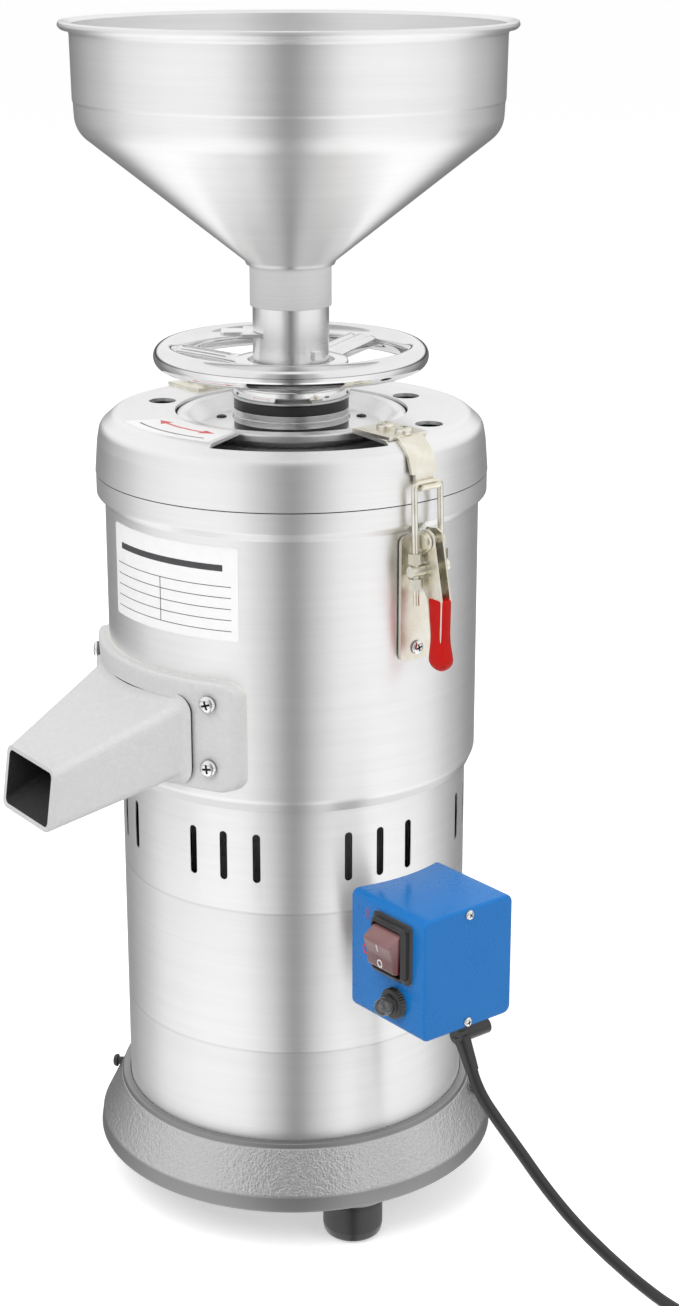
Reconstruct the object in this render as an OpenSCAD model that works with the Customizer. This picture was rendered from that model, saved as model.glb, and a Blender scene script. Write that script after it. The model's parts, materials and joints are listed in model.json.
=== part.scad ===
// Nut butter grinder: vertical stone mill with a top hopper, a side spout and a switch box.
// Millimetres. +Z is up, the floor is z = 0 and the machine's axis is the Z axis.
// The front faces -Y. An angle "az" turns from -Y towards +X, seen from above.

/* [Base] */
// Height of a rubber foot
foot_h = 28.5; // [20:0.5:40]
// Radius of a rubber foot
foot_r = 18; // [14:0.5:20]
// Distance of the feet's centres from the base's lower edge
foot_inset = 24.1; // [24:0.1:32]
// Direction of the first foot
foot_az = 20; // [0:1:60]
// How far the base's lower edge stands out beyond the motor tube
base_flare = 19.7; // [17:0.1:28]
// Height of the base casting
base_h = 38.2; // [36:0.2:48]
// Height of the plain band round the base's lower edge
base_band_h = 9.9; // [6:0.1:14]
// Wall of the base casting
base_wall = 7; // [5:0.5:9]
// Thickness of the base casting's floor
base_floor_t = 6; // [4:0.5:8]
// Depth of the socket in the base that holds the motor tube
tube_socket = 18; // [12:1:20]

/* [Motor] */
// Outer radius of the motor tube
tube_r = 104.4; // [102:0.2:106]
// Wall of the motor tube
tube_wall = 1.4; // [1:0.1:2.5]
// Height of the vent slots
slot_h = 30; // [16:1:34]
// Width of a vent slot
slot_w = 4.6; // [3:0.1:6]
// Height of the posts that carry the motor
post_h = 46.5; // [42:0.5:60]
// Thickness of a bearing shield
shield_t = 12; // [10:0.5:16]
// Height of the stator core
stator_h = 92; // [70:1:100]
// Gap between the stator core and the posts beside it
stator_gap = 5; // [3:0.25:12]
// Outer radius of the rotor core
rotor_r = 45.4; // [36:0.2:48]
// Radius of the shaft in its bearings
shaft_r = 12.5; // [10:0.5:14]
// Outer radius of a ball bearing
bearing_r = 26; // [24:0.5:28]
// Height of a ball bearing
bearing_h = 15; // [12:0.5:16]
// Gap between the cooling fan and the posts
fan_gap = 8; // [5:0.5:25]

/* [Mill] */
// Height of the grinding bowl
bowl_h = 144; // [136:1:150]
// Gap between the grinding bowl and the upper shell
bowl_gap = 8.6; // [7.6:0.1:12]
// Wall of the grinding bowl
bowl_wall = 6; // [4:0.5:8]
// Radius of the grinding discs
disc_r = 60; // [50:1:66]
// Thickness of a grinding disc
disc_t = 18; // [12:0.5:20]
// Gap between the grinding discs when the wheel is screwed down
grind_gap = 0.4; // [0.3:0.05:0.8]
// Radius of the passage for the nuts
feed_r = 20.3; // [16:0.1:20.5]

/* [Shells] */
// How far the upper shell stands out beyond the motor tube
shell_step = 5.6; // [4.6:0.1:7.6]
// Wall of the upper shell
shell_wall = 1.4; // [1:0.1:2]
// How far the lid's lower edge and the rim under it stand out beyond the upper shell
lid_step = 5.1; // [4.4:0.1:6]
// Height of the lid
lid_h = 34.1; // [32:0.1:38]
// Wall of the lid
lid_wall = 2; // [1.5:0.1:2.5]
// Radius of the pressed cover disc in the lid
cover_r = 67; // [60:0.5:68]
// Depth of the cover disc's dish below the lid's top
dish_depth = 10; // [7:0.5:12]

/* [Handwheel and feed] */
// Radius of the handwheel's rim, to the middle of its bar
wheel_r = 73; // [64:0.5:76]
// Radius of the bar of the handwheel's rim
wheel_bar_r = 7; // [5:0.25:8]
// Radius of the rubber and steel rings under the handwheel
stack_r = 34.4; // [31:0.2:38]
// Outer radius of the feed tube
feed_tube_r = 22.1; // [21.8:0.1:23]
// Length of the feed tube above the handwheel's hub
feed_tube_h = 54; // [48:1:64]
// Thickness of the feed gate
gate_t = 2; // [1:0.25:3]
// Width of the feed gate
gate_w = 30; // [20:1:32]

/* [Hopper] */
// Inner wall thickness of the hopper
hopper_wall = 1.2; // [0.8:0.1:2]
// Outer radius of the hopper under its rim
hopper_r = 122.3; // [110:0.5:130]
// Radius of the hopper's rolled rim
hopper_rim_r = 128.7; // [126:0.1:136]
// Height of the hopper's cone
cone_h = 70; // [60:1:90]
// Height of the hopper above its cone
hopper_h = 66; // [50:1:80]
// Length of the collar over the feed tube
collar_h = 23; // [16:1:28]

/* [Spout] */
// Direction of the outlet spout
spout_az = -56.5; // [-60:0.5:-50]
// Distance of the spout's mouth from the upper shell
spout_l = 71.4; // [56:0.2:90]
// Drop of the spout's mouth below its root
spout_drop = 28; // [18:0.5:32]
// Outer width of the spout at its mouth
mouth_w = 56.2; // [46:0.2:64]
// Outer height of the spout at its mouth
mouth_h = 37.6; // [30:0.2:42]
// Wall of the spout at its mouth
mouth_wall = 2.8; // [2:0.1:4]
// Width of the paste's passage through the shell
pass_w = 84; // [60:1:88]
// Height of the paste's passage through the shell
pass_h = 36; // [26:1:38]

/* [Latches] */
// Direction of the front latch; the rear one is opposite
latch_az = 38.5; // [36:0.5:42]
// Width of a latch's base plate
latch_w = 24; // [22:0.5:26]
// Height of a latch's base plate
latch_h = 73; // [70:1:78]
// Radius of the U-bolt's wire
wire_r = 1.75; // [1.5:0.05:1.9]
// Half the distance between the U-bolt's legs
leg_t = 9.5; // [9.4:0.1:10]
// Thickness of the lid straps
strap_t = 2; // [1.5:0.1:2.2]

/* [Switch box] */
// Direction of the switch box
box_az = 37.2; // [34:0.2:42]
// Depth of the box beyond the motor tube
box_depth = 59.6; // [52:0.1:68]
// Width of the box
box_w = 67; // [60:0.5:74]
// Height of the box
box_h = 75; // [72:0.5:76]
// Wall of the box
box_wall = 3; // [2:0.1:4]
// Width of the switch's bezel
bezel_w = 33; // [31:0.5:34]
// Height of the switch's bezel
bezel_h = 36.5; // [36:0.1:37.5]
// Radius of the knurled nut of the reset button
reset_r = 9; // [7:0.25:9.5]

/* [Cord] */
// Radius of the power cord
cord_r = 3.5; // [3:0.1:3.5]

/* [Hidden] */
$fn = 96;

// Clearances
fit = 0.03;      // a shaft in its bore
slip = 0.3;      // parts that pass or face each other
seat = 0.3;      // a moving part above what it rests on

// Radii that follow the motor tube
shell_r = tube_r + shell_step;
lid_r = shell_r + lid_step;
base_r = tube_r + base_flare;
foot_circle_r = base_r - foot_inset;
bowl_r = shell_r - shell_wall - bowl_gap;

// Heights of the stack, from the floor up
boss_drop = 0.8;
z_base = foot_h + boss_drop;
z_tube = z_base + base_h - tube_socket;
z_lower_shield = z_tube + post_h;
lower_skirt = 12;
z_stator = z_lower_shield + shield_t + lower_skirt;
upper_skirt = 52;
z_upper_shield = z_stator + stator_h + upper_skirt;
z_bowl = z_upper_shield + shield_t;
bowl_foot_h = 8;
bowl_floor_t = 7;
z_bowl_floor = z_bowl + bowl_foot_h + bowl_floor_t;
z_bowl_top = z_bowl + bowl_h;
shell_lift = 1;
z_shell = z_bowl + shell_lift;
rim_over_bowl = 35.4;
z_lid = z_bowl_top + rim_over_bowl;
z_lid_top = z_lid + lid_h;
z_dish = z_lid_top - dish_depth;
cover_t = 1.5;
z_head_top = z_dish - cover_t;
buffer_low_t = 4.5;
ring_t = 3.65;
buffer_up_t = 5.7;
z_rings = z_dish + buffer_low_t;
z_buffer_up = z_rings + 2 * ring_t;
z_hub = z_buffer_up + buffer_up_t + seat;
hub_h = 21.7;
z_hub_top = z_hub + hub_h;
z_wheel = z_hub_top + 2.4;

// Motor
tube_in = tube_r - tube_wall;
post_r = 7;
post_inset = 13;
post_circle_r = tube_in - post_inset;
stator_r = post_circle_r - post_r - stator_gap;
fan_r = post_circle_r - post_r - fan_gap;
base_eye_r = 22;
base_vent_r = 13;
base_vent_circle_r = (base_eye_r + post_circle_r) / 2;
base_screw_az = 80;
base_screw_z = z_tube + 7.5;
tie_r = 3;
tie_depth = 21;
shield_r = tube_in - slip;
skirt_wall = 6;
hub_r = bearing_r + 8;
lip_h = 3;
vent_circle_r = (hub_r + stator_r - skirt_wall) / 2;
vent_r = (stator_r - skirt_wall - hub_r) / 2 - 10;
bore_r = bearing_r + fit;
stator_in = rotor_r + 0.6;
rotor_shaft_r = shaft_r + 1.5;
fan_shaft_r = shaft_r - 2.5;
fan_z = z_tube + 5;
fan_h = 22;
shaft_foot_z = z_tube + 3;
slot_mid_z = z_upper_shield - 16.2;
slot_groups = 7;
slot_step = 11;
slot_first_az = -23;
seam_z = [75.6, 164.1];

// Mill
paddle_gap = 2;
z_slinger = z_bowl_floor + paddle_gap;
paddle_h = 7;
slinger_t = 4;
slinger_r = bowl_r - bowl_wall - 8;
slinger_hub_h = 25;
z_disc_low = z_slinger + slinger_hub_h;
z_disc_up = z_disc_low + disc_t + grind_gap;
z_holder = z_disc_up + disc_t;
holder_flange_t = 12;
z_shaft_top = z_disc_low + disc_t + 6;
disc_in = feed_r + 8;
sleeve_r = feed_tube_r + 8;
neck_r = feed_tube_r + 2.85;
sleeve_top_z = z_head_top - 4;
neck_top_z = z_hub_top - 2;
tube_seat_z = z_dish + 2.5;
seal_r = shaft_r + 7.5;
seal_h = 8;
head_plate_z = z_head_top - 18;
head_plate_t = 8;
head_plate_r = bowl_r;
head_skirt_r = bowl_r - 4;
head_hub_r = sleeve_r + 29.9;
head_hole_inset = 16;
disc_screw_circle_r = 48;

// Feed tube and hopper
tube_top_z = z_hub_top + feed_tube_h;
gate_z = z_hub_top + 14.5;
gate_slide_r = 40;
z_hopper = tube_top_z + seat;
collar_wall = 1.3;
collar_in = feed_tube_r + 0.2;
collar_r = collar_in + collar_wall;
collar_lip = 0.4;

// Spout
spout_reach = shell_r + spout_l;
spout_z = z_bowl + 43.5;
pass_cut = 30;
gasket_t = 1.5;
flange_t = 5;
flange_in = shell_r + gasket_t;
flange_r = flange_in + flange_t;
flange_w = 2 * flange_r * sin(40);
flange_h = 65.4;
flange_z = spout_z + 3.8;
root_w = pass_w + 16;
root_h = pass_h + 9;
mouth_tilt = 7.9;
screw_az = 32.2;
screw_dz = 19;
screw_z = flange_z + 1;

// Latches: radial distance from the axis and height
latch_y = shell_r + 0.3;
plate_t = 2;
latch_top_z = z_lid - 19;
pivot = [latch_y + 13.2, z_lid - 20.4];
trunnion = [latch_y + 11.2, z_lid - 36.9];
crossbar = [lid_r + 4.4, z_lid + 11.6];
lever_w = 7.8;
lever_wall = 1.3;
cheek_in = lever_w / 2 + slip;
cheek_t = 1.5;
rivet_r = 2.5;
pin_r = 3.2;
leg_below = 19.5;
nut_h = 5.8;
nut_r = 4;
hook_w = 13;
hook_gap_r = 2.55;
hook_wall = 1.6;

// Switch box
box_reach = tube_r + box_depth;
box_root = 12;
box_cut = box_root + 2;
box_screw_bite = 6;
box_z = z_tube + 104;
box_mid_z = box_z + box_h / 2;
box_corner = 5;
box_screw_dz = box_h / 2 - 4;
bezel_rho = box_reach - 26.5;
bezel_z = box_z + box_h - 24.3;
bezel_t = 5;
rocker_r = 13.6;
rocker_w = 24;
rocker_x = -box_w / 2 - 2.5;
rocker_tilt = 12;
reset_rho = box_reach - 24;
reset_z = box_z + 17.5;
sleeve_cord_r = 4.8;
gland_rho = box_reach - 4;
stub_r = 3.5;
stub_x = 8;
stub_rho = box_reach - box_wall - stub_r - 0.7;
gland_z = box_z - 5;

// Cord: the stretch from the strain relief to the coil, laid by hand
cord_route = [
  [102, -132, 127.5], [104.1, -132.9, 120.6], [108.6, -134.9, 110.8], [115, -137.6, 101],
  [123, -141.1, 90], [131.6, -144.8, 78.4], [141, -149, 65.6], [151, -153.5, 53.3],
  [162, -158.5, 41.4], [174, -164, 30.3], [187, -170.6, 20], [200, -178.2, 11.4],
  [213, -188.5, 6], [226, -200, 4.1], [237.9, -208.8, 3.6]
];
relief_top = [95.6, -129.2, gland_z];
cord_sides = 8;
coil_mid = [220, -256];
coil_sides = 6;
coil_r_out = 48;
coil_pitch = 7.6;
coil_steps = 24;
coil_start = 53.13;
coil_turns = 5 + coil_start / 360;
coil_z = 3.6;
coil_lead = 30;
plug_h = 22;
plug_w = 26;
plug_l = 38;

// ---------- shared shapes ----------

// Turns children from the front to a direction az.
module at(az) rotate([0, 0, az]) children();

// Extrudes an outline drawn as (distance from the axis, height) across the front.
module side(w) rotate([90, 0, -90]) linear_extrude(w, center = true) children();

// Extrudes an outline drawn as (sideways, height) outwards from the distance y0.
module outward(y0, l) translate([0, -y0, 0]) rotate([90, 0, 0]) linear_extrude(l) children();

// A bar along the radius, from distance y0 outwards.
module radial_bar(x, y0, z, l, r) translate([x, -y0, z]) rotate([90, 0, 0]) cylinder(h = l, r = r);

// A bar across the front.
module cross_bar(x0, y, z, l, r) translate([x0, -y, z]) rotate([0, 90, 0]) cylinder(h = l, r = r);

// A vertical tube.
module pipe(z, h, r_out, r_in) translate([0, 0, z]) difference() {
  cylinder(h = h, r = r_out);
  translate([0, 0, -1]) cylinder(h = h + 2, r = r_in);
}

// A rectangle with round corners, centred.
module rounded(w, h, r) {
  square([w - 2 * r, h], center = true);
  square([w, h - 2 * r], center = true);
  for (x = [-1, 1], y = [-1, 1]) translate([x * (w / 2 - r), y * (h / 2 - r)]) circle(r = r);
}

// A pan-head screw along the radius, its head outside the distance y.
module pan_screw(x, y, z, head_r, head_h, l, r) {
  radial_bar(x, y - l, z, l + 0.01, r);
  translate([x, -y, z]) rotate([90, 0, 0]) rotate_extrude()
    polygon([[0, 0], [head_r, 0], [head_r, head_h * 0.45], [head_r * 0.8, head_h * 0.85],
             [head_r * 0.45, head_h], [0, head_h]]);
}

// ---------- base ----------

module base_profile() polygon([
  [base_r - base_wall, z_base], [base_r, z_base], [base_r - 1.5, z_base + base_band_h],
  [tube_r + 5, z_base + base_h - 1.5], [tube_r + 4.2, z_base + base_h],
  [tube_r + 0.2, z_base + base_h], [tube_r + 0.2, z_tube], [base_eye_r, z_tube],
  [base_eye_r, z_tube - base_floor_t], [base_r - base_wall - 6, z_tube - base_floor_t],
  [base_r - base_wall - 1, z_base + base_band_h]
]);

module base_casting() color([0.62, 0.62, 0.63]) difference() {
  union() {
    rotate_extrude($fn = 180) base_profile();
    for (i = [0:2]) at(foot_az + 120 * i) translate([0, -foot_circle_r, foot_h]) {
      cylinder(h = 4, r = foot_r + 5);
      cylinder(h = z_tube - base_floor_t - foot_h + 1, r = 13);
    }
    for (i = [0:3]) at(45 + 90 * i) translate([0, -post_circle_r, z_tube - 1])
      cylinder(h = post_h + 1, r = post_r);
  }
  for (i = [0:2]) at(foot_az + 120 * i) translate([0, -foot_circle_r, foot_h - 1])
    cylinder(h = 14, r = 4 + fit);
  for (i = [0:3]) at(45 + 90 * i) translate([0, -post_circle_r, z_lower_shield - tie_depth])
    cylinder(h = tie_depth + 1, r = tie_r + fit);
  for (i = [0:7]) at(45 * i + 22.5) translate([0, -base_vent_circle_r, z_tube - base_floor_t - 1])
    cylinder(h = base_floor_t + 2, r = base_vent_r);
  for (i = [0, 1]) at(base_screw_az + 180 * i) radial_bar(0, tube_r - 2, base_screw_z, 20, 2.5 + fit);
}

module bottom_cover() color([0.35, 0.35, 0.36]) difference() {
  translate([0, 0, z_base]) cylinder(h = 1.5, r = base_r - base_wall - 0.5);
  for (i = [0:2]) at(foot_az + 120 * i) translate([0, -foot_circle_r, z_base - 1])
    cylinder(h = 4, r = foot_r + 5 + slip);
  for (r = [22, 44, 66], i = [0:11]) at(30 * i + r) translate([0, -r, z_base - 1])
    cylinder(h = 4, r = r * 0.09 + 2);
}

module rubber_feet() color([0.08, 0.08, 0.08])
  for (i = [0:2]) at(foot_az + 120 * i) translate([0, -foot_circle_r, 0]) difference() {
    rotate_extrude() polygon([
      [0, 0], [foot_r - 5, 0], [foot_r - 2.2, 1], [foot_r - 0.6, 3.2], [foot_r, 6],
      [foot_r, foot_h - 5], [foot_r - 1, foot_h - 1.6], [foot_r - 3, foot_h], [0, foot_h]
    ]);
    translate([0, 0, 8]) cylinder(h = foot_h, r = 4 + fit);
    translate([0, 0, -1]) cylinder(h = 15, r = 7.5);
  }

module foot_bolts() color([0.75, 0.75, 0.76])
  for (i = [0:2]) at(foot_az + 120 * i) translate([0, -foot_circle_r, 0]) {
    translate([0, 0, 8]) cylinder(h = 6, r = 6.5, $fn = 6);
    translate([0, 0, 13.9]) cylinder(h = foot_h - 3, r = 4);
  }

module base_screws() color([0.12, 0.12, 0.12])
  for (i = [0, 1]) at(base_screw_az + 180 * i)
    pan_screw(0, base_socket_r(), base_screw_z, 4, 3, base_socket_r() - tube_r - 0.5, 2.5);

// Radius of the base's cone at the height of its screws.
function base_socket_r() = base_r - 1.5
  - (base_r - tube_r - 6.5) * (base_h - tube_socket + 7.5 + 4 - base_band_h) / (base_h - 1.5 - base_band_h)
  + 4.5;

// ---------- motor ----------

module motor_shell() color([0.82, 0.83, 0.84]) difference() {
  pipe(z_tube, z_bowl + 7 - z_tube, tube_r, tube_in);
  for (g = [0:slot_groups - 1], s = [-1:1]) at(slot_first_az + g * 360 / slot_groups + s * slot_step)
    outward(tube_in - 3, tube_wall + 6) translate([0, slot_mid_z]) {
      square([slot_w, slot_h - slot_w], center = true);
      for (k = [-1, 1]) translate([0, k * (slot_h - slot_w) / 2]) circle(d = slot_w, $fn = 32);
    }
  for (z = seam_z) pipe(z_tube + z, 0.8, tube_r + 1, tube_r - 0.3);
  for (k = [-1, 1]) at(box_az) radial_bar(0, tube_in - 3, box_mid_z + k * box_screw_dz, 8, 1.8);
  at(box_az) radial_bar(12, tube_in - 3, box_mid_z, 8, 6);
}

// A bearing shield: disc, skirt towards the stator, and a hub with the bearing's seat.
module end_shield(z, up) difference() {
  union() {
    pipe(z, shield_t, shield_r, hub_r - 1);
    translate([0, 0, z + (up ? -upper_skirt : shield_t - 0.01)])
      pipe(0, (up ? upper_skirt : lower_skirt) + 0.01, stator_r, stator_r - skirt_wall);
    pipe(z + shield_t - bearing_h - lip_h, bearing_h + lip_h, hub_r, shaft_r + 4);
  }
  translate([0, 0, z + shield_t - bearing_h - (up ? lip_h + 1 : 0)])
    cylinder(h = bearing_h + 1, r = bore_r);
  for (i = [0:3]) at(45 + 90 * i) translate([0, -post_circle_r, z - 1])
    cylinder(h = shield_t + 2, r = tie_r + 0.2);
  for (i = [0:7]) at(45 * i + 22.5) translate([0, -vent_circle_r, z - 1])
    cylinder(h = shield_t + 2, r = vent_r);
}

module lower_end_shield() color([0.7, 0.71, 0.72]) end_shield(z_lower_shield, false);

module upper_end_shield() color([0.7, 0.71, 0.72]) end_shield(z_upper_shield, true);

function bearing_z() = [z_lower_shield + shield_t - bearing_h,
                        z_upper_shield + shield_t - lip_h - bearing_h];

module bearings() color([0.78, 0.79, 0.8])
  for (z = bearing_z()) difference() {
    pipe(z, bearing_h, bearing_r, shaft_r + fit);
    for (k = [-1, 1]) translate([0, 0, z + bearing_h / 2 + k * (bearing_h / 2 - 0.5)])
      pipe(-0.6, 1.2, bearing_r - 4, shaft_r + 4);
  }

module tie_bolts() color([0.75, 0.75, 0.76])
  for (i = [0:3]) at(45 + 90 * i) translate([0, -post_circle_r, 0]) {
    translate([0, 0, z_lower_shield - tie_depth + 1])
      cylinder(h = z_bowl - z_lower_shield + tie_depth - 1, r = tie_r);
    translate([0, 0, z_bowl]) cylinder(h = 4, r = 5.5, $fn = 6);
  }

module stator_core() color([0.4, 0.4, 0.42]) difference() {
  pipe(z_stator, stator_h, stator_r, stator_in);
  for (i = [0:23]) at(15 * i) translate([-2.2, -stator_in - 16, z_stator - 1])
    cube([4.4, 14, stator_h + 2]);
}

module stator_windings() color([0.72, 0.4, 0.2])
  for (z = [z_stator - 11, z_stator + stator_h]) translate([0, 0, z]) rotate_extrude()
    polygon([[stator_in + 3, 0], [stator_r - skirt_wall - 6, 0], [stator_r - skirt_wall - 2, 4],
             [stator_r - skirt_wall - 2, 11], [stator_in + 2, 11], [stator_in + 2, 2]]);

module rotor_core() color([0.55, 0.55, 0.57])
  pipe(z_stator - 2, stator_h + 4, rotor_r, rotor_shaft_r + fit);

module motor_shaft() color([0.8, 0.8, 0.82]) {
  z_low = bearing_z()[0];
  z_up = bearing_z()[1];
  translate([0, 0, shaft_foot_z]) cylinder(h = z_low - shaft_foot_z, r = fan_shaft_r);
  translate([0, 0, z_low]) cylinder(h = bearing_h + slip, r = shaft_r);
  translate([0, 0, z_low + bearing_h + slip])
    cylinder(h = z_up - z_low - bearing_h - 2 * slip, r = rotor_shaft_r);
  translate([0, 0, z_up - slip]) cylinder(h = z_disc_low - z_up + slip, r = shaft_r);
  translate([0, 0, z_disc_low]) cylinder(h = z_shaft_top - z_disc_low, r = shaft_r - 2);
}

module cooling_fan() color([0.16, 0.16, 0.17]) {
  pipe(fan_z, fan_h, fan_shaft_r + 6, fan_shaft_r + fit);
  pipe(fan_z, 2, fan_r, fan_shaft_r + 5);
  for (i = [0:8]) at(40 * i) translate([-1, -fan_r, fan_z + 1])
    cube([2, fan_r - fan_shaft_r - 5, fan_h - 1]);
}

// ---------- mill ----------

module shaft_seal() color([0.1, 0.1, 0.1])
  pipe(z_bowl + bowl_foot_h, seal_h, seal_r, shaft_r + fit);

// The passage for the paste, as a solid to cut with.
module passage(y0, l) at(spout_az) outward(y0, l) translate([0, spout_z]) rounded(pass_w, pass_h, 6);

module grinding_bowl() color([0.72, 0.72, 0.7]) difference() {
  union() {
    rotate_extrude($fn = 180) polygon([
      [40, z_bowl], [56, z_bowl], [56, z_bowl + bowl_foot_h], [bowl_r, z_bowl + bowl_foot_h],
      [bowl_r, z_bowl_top - 8], [shell_r - shell_wall - slip, z_bowl_top - 8],
      [shell_r - shell_wall - slip, z_bowl_top], [bowl_r - bowl_wall, z_bowl_top],
      [bowl_r - bowl_wall, z_bowl_floor + 4], [bowl_r - bowl_wall - 4, z_bowl_floor],
      [seal_r + 8, z_bowl_floor], [seal_r + 8, z_bowl_floor + 1], [seal_r + fit, z_bowl_floor + 1],
      [seal_r + fit, z_bowl + bowl_foot_h], [40, z_bowl + bowl_foot_h]
    ]);
    intersection() {
      translate([0, 0, z_bowl]) cylinder(h = bowl_h, r = shell_r - shell_wall - slip, $fn = 180);
      at(spout_az) union() {
        outward(bowl_r - bowl_wall, 20) translate([0, spout_z]) rounded(pass_w + 8, pass_h + 8, 8);
        for (k = [-1, 1], s = [-1, 1]) at(s * screw_az)
          radial_bar(0, bowl_r - 3, screw_z + k * screw_dz, 20, 7);
      }
    }
  }
  passage(bowl_r - bowl_wall - 12, 40);
  for (k = [-1, 1], s = [-1, 1]) at(spout_az + s * screw_az)
    radial_bar(0, bowl_r - 2, screw_z + k * screw_dz, 20, 2.5 + fit);
}

module slinger() color([0.78, 0.78, 0.8]) {
  pipe(z_slinger + paddle_h, slinger_t, slinger_r, shaft_r + fit);
  pipe(z_slinger + paddle_h, slinger_hub_h - paddle_h, shaft_r + 8, shaft_r + fit);
  for (i = [0:3]) at(90 * i) translate([-2, -slinger_r, z_slinger])
    cube([4, slinger_r - seal_r - 12, paddle_h + 0.5]);
}

// A grinding disc with twelve slanted grooves in the face at height face_z.
module grooved_disc(z, r_in, face_z) difference() {
  pipe(z, disc_t, disc_r, r_in);
  for (i = [0:11]) at(30 * i) translate([6, -disc_r - 1, face_z - 1.2]) rotate([0, 0, 14])
    cube([3, disc_r - disc_in - 2, 2.4]);
}

module lower_grinding_disc() color([0.5, 0.5, 0.5])
  grooved_disc(z_disc_low, shaft_r - 2 + fit, z_disc_low + disc_t);

module upper_grinding_disc() color([0.5, 0.5, 0.5]) grooved_disc(z_disc_up, disc_in, z_disc_up);

module feed_impeller() color([0.8, 0.8, 0.82]) translate([0, 0, z_disc_low + disc_t]) difference() {
  union() {
    rotate_extrude() polygon([[0, 0], [feed_r - 3, 0], [feed_r - 5, 5], [10, 14], [6, 20], [0, 21]]);
    for (i = [0:2]) at(120 * i) translate([-1.5, -feed_r + 1, 0]) cube([3, feed_r - 6, 10]);
  }
  translate([0, 0, -1]) cylinder(h = 7 + fit, r = shaft_r - 2 + fit);
}

module disc_holder() color([0.74, 0.74, 0.75]) difference() {
  union() {
    translate([0, 0, z_holder]) cylinder(h = holder_flange_t, r = disc_r + 2);
    translate([0, 0, z_holder]) cylinder(h = sleeve_top_z - z_holder, r = sleeve_r);
    translate([0, 0, z_holder]) cylinder(h = neck_top_z - z_holder, r = neck_r);
  }
  translate([0, 0, z_holder - 1]) cylinder(h = neck_top_z, r = feed_r);
  translate([0, 0, tube_seat_z]) cylinder(h = neck_top_z, r = feed_tube_r + fit);
}

module head_casting() color([0.66, 0.66, 0.64]) difference() {
  union() {
    pipe(head_plate_z - head_plate_t, head_plate_t, head_plate_r, sleeve_r + 2);
    pipe(z_bowl_top, head_plate_z - z_bowl_top - 1, head_skirt_r, head_skirt_r - 6);
    pipe(head_plate_z - 28, z_head_top - head_plate_z + 28, head_hub_r, sleeve_r + 0.05);
    for (i = [0:5]) at(60 * i + 40) translate([-3, -head_skirt_r + 2, head_plate_z - 1])
      cube([6, head_skirt_r - head_hub_r, 7]);
  }
  at(10) translate([0, head_hole_inset - head_plate_r, head_plate_z - 6]) cylinder(h = 10, r = 7.5);
  for (i = [0:2]) at(120 * i) translate([0, -disc_screw_circle_r, z_head_top - 12])
    cylinder(h = 14, r = 2 + fit);
}

// ---------- shells ----------

module upper_shell() color([0.82, 0.83, 0.84]) difference() {
  rotate_extrude($fn = 180) polygon(concat(
    // outside, from the rolled lower edge up to the rim band
    [[tube_r + slip, z_shell], [tube_r + 3, z_shell + 1.6], [shell_r - 1.1, z_shell + 6],
     [shell_r, z_shell + 10.5], [shell_r, z_lid - 18.4], [lid_r - 1.9, z_lid - 13.4],
     [lid_r - 0.3, z_lid - 11], [lid_r - 0.3, z_lid]],
    // inside, back down
    [[lid_r - 0.3 - shell_wall, z_lid], [lid_r - 0.3 - shell_wall, z_lid - 10.6],
     [shell_r - shell_wall, z_lid - 17.8], [shell_r - shell_wall, z_shell + 10.8],
     [shell_r - shell_wall - 1.1, z_shell + 7], [tube_r + 2.2, z_shell + 3],
     [tube_r + slip, z_shell + 1.6]]
  ));
  passage(shell_r - 12, pass_cut);
  for (k = [-1, 1], s = [-1, 1]) at(spout_az + s * screw_az)
    radial_bar(0, shell_r - 6, screw_z + k * screw_dz, 12, 2.8);
  for (a = [latch_az, latch_az + 180]) at(a)
    radial_bar(0, shell_r - 6, latch_screw_z(), 12, 2 + fit);
}

lid_flat_r = lid_r - 13.6;

// The lid's outline from its lower edge to its top: distance from the axis, height
// above the seam, and the direction that the surface faces.
lid_line = [
  [lid_r, 0, 1, 0], [lid_r - 1.5, lid_h - 17.1, 1, 0.09], [lid_r - 2.1, lid_h - 11.6, 0.98, 0.2],
  [lid_r - 2.9, lid_h - 8.9, 0.9, 0.44], [lid_r - 5.8, lid_h - 5.2, 0.7, 0.71],
  [lid_r - 10.6, lid_h - 1.2, 0.5, 0.87], [lid_flat_r, lid_h, 0, 1]
];

// A point of the lid's outline, moved outwards by d.
function lid_point(i, d) =
  [lid_line[i][0] + d * lid_line[i][2], z_lid + lid_line[i][1] + d * lid_line[i][3]];

lid_hole_r = cover_r + 1;
window_out = lid_r - 9;
// The round holes in the lid: distance from the middle of its flat ring, direction
lid_holes = [[-4.75, -107], [-7.75, 117], [5.25, 60]];

module lid_window() {
  intersection() {
    pipe(z_lid, lid_h + 1, window_out, lid_hole_r - 6);
    linear_extrude(z_lid_top + 2) polygon([[0, 0], [-300 * sin(25), -300 * cos(25)],
      [0, -400], [300 * sin(30), -300 * cos(30)]]);
  }
}

module lid_cover() color([0.84, 0.85, 0.86]) difference() {
  rotate_extrude($fn = 180) polygon(concat(
    [for (i = [0:6]) lid_point(i, 0)],
    [[lid_hole_r, z_lid_top], [lid_hole_r, z_lid_top - lid_wall]],
    [for (i = [6:-1:0]) lid_point(i, -lid_wall)]
  ));
  lid_window();
  for (p = lid_holes) at(p[1]) translate([0, -(lid_hole_r + lid_flat_r) / 2 - p[0], z_lid_top - 8])
    cylinder(h = 12, r = 8);
  for (a = [latch_az, latch_az + 180], y = strap_bolt_y) at(a)
    translate([0, -y, z_lid_top - 8]) cylinder(h = 12, r = 3 + 0.1);
}

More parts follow.
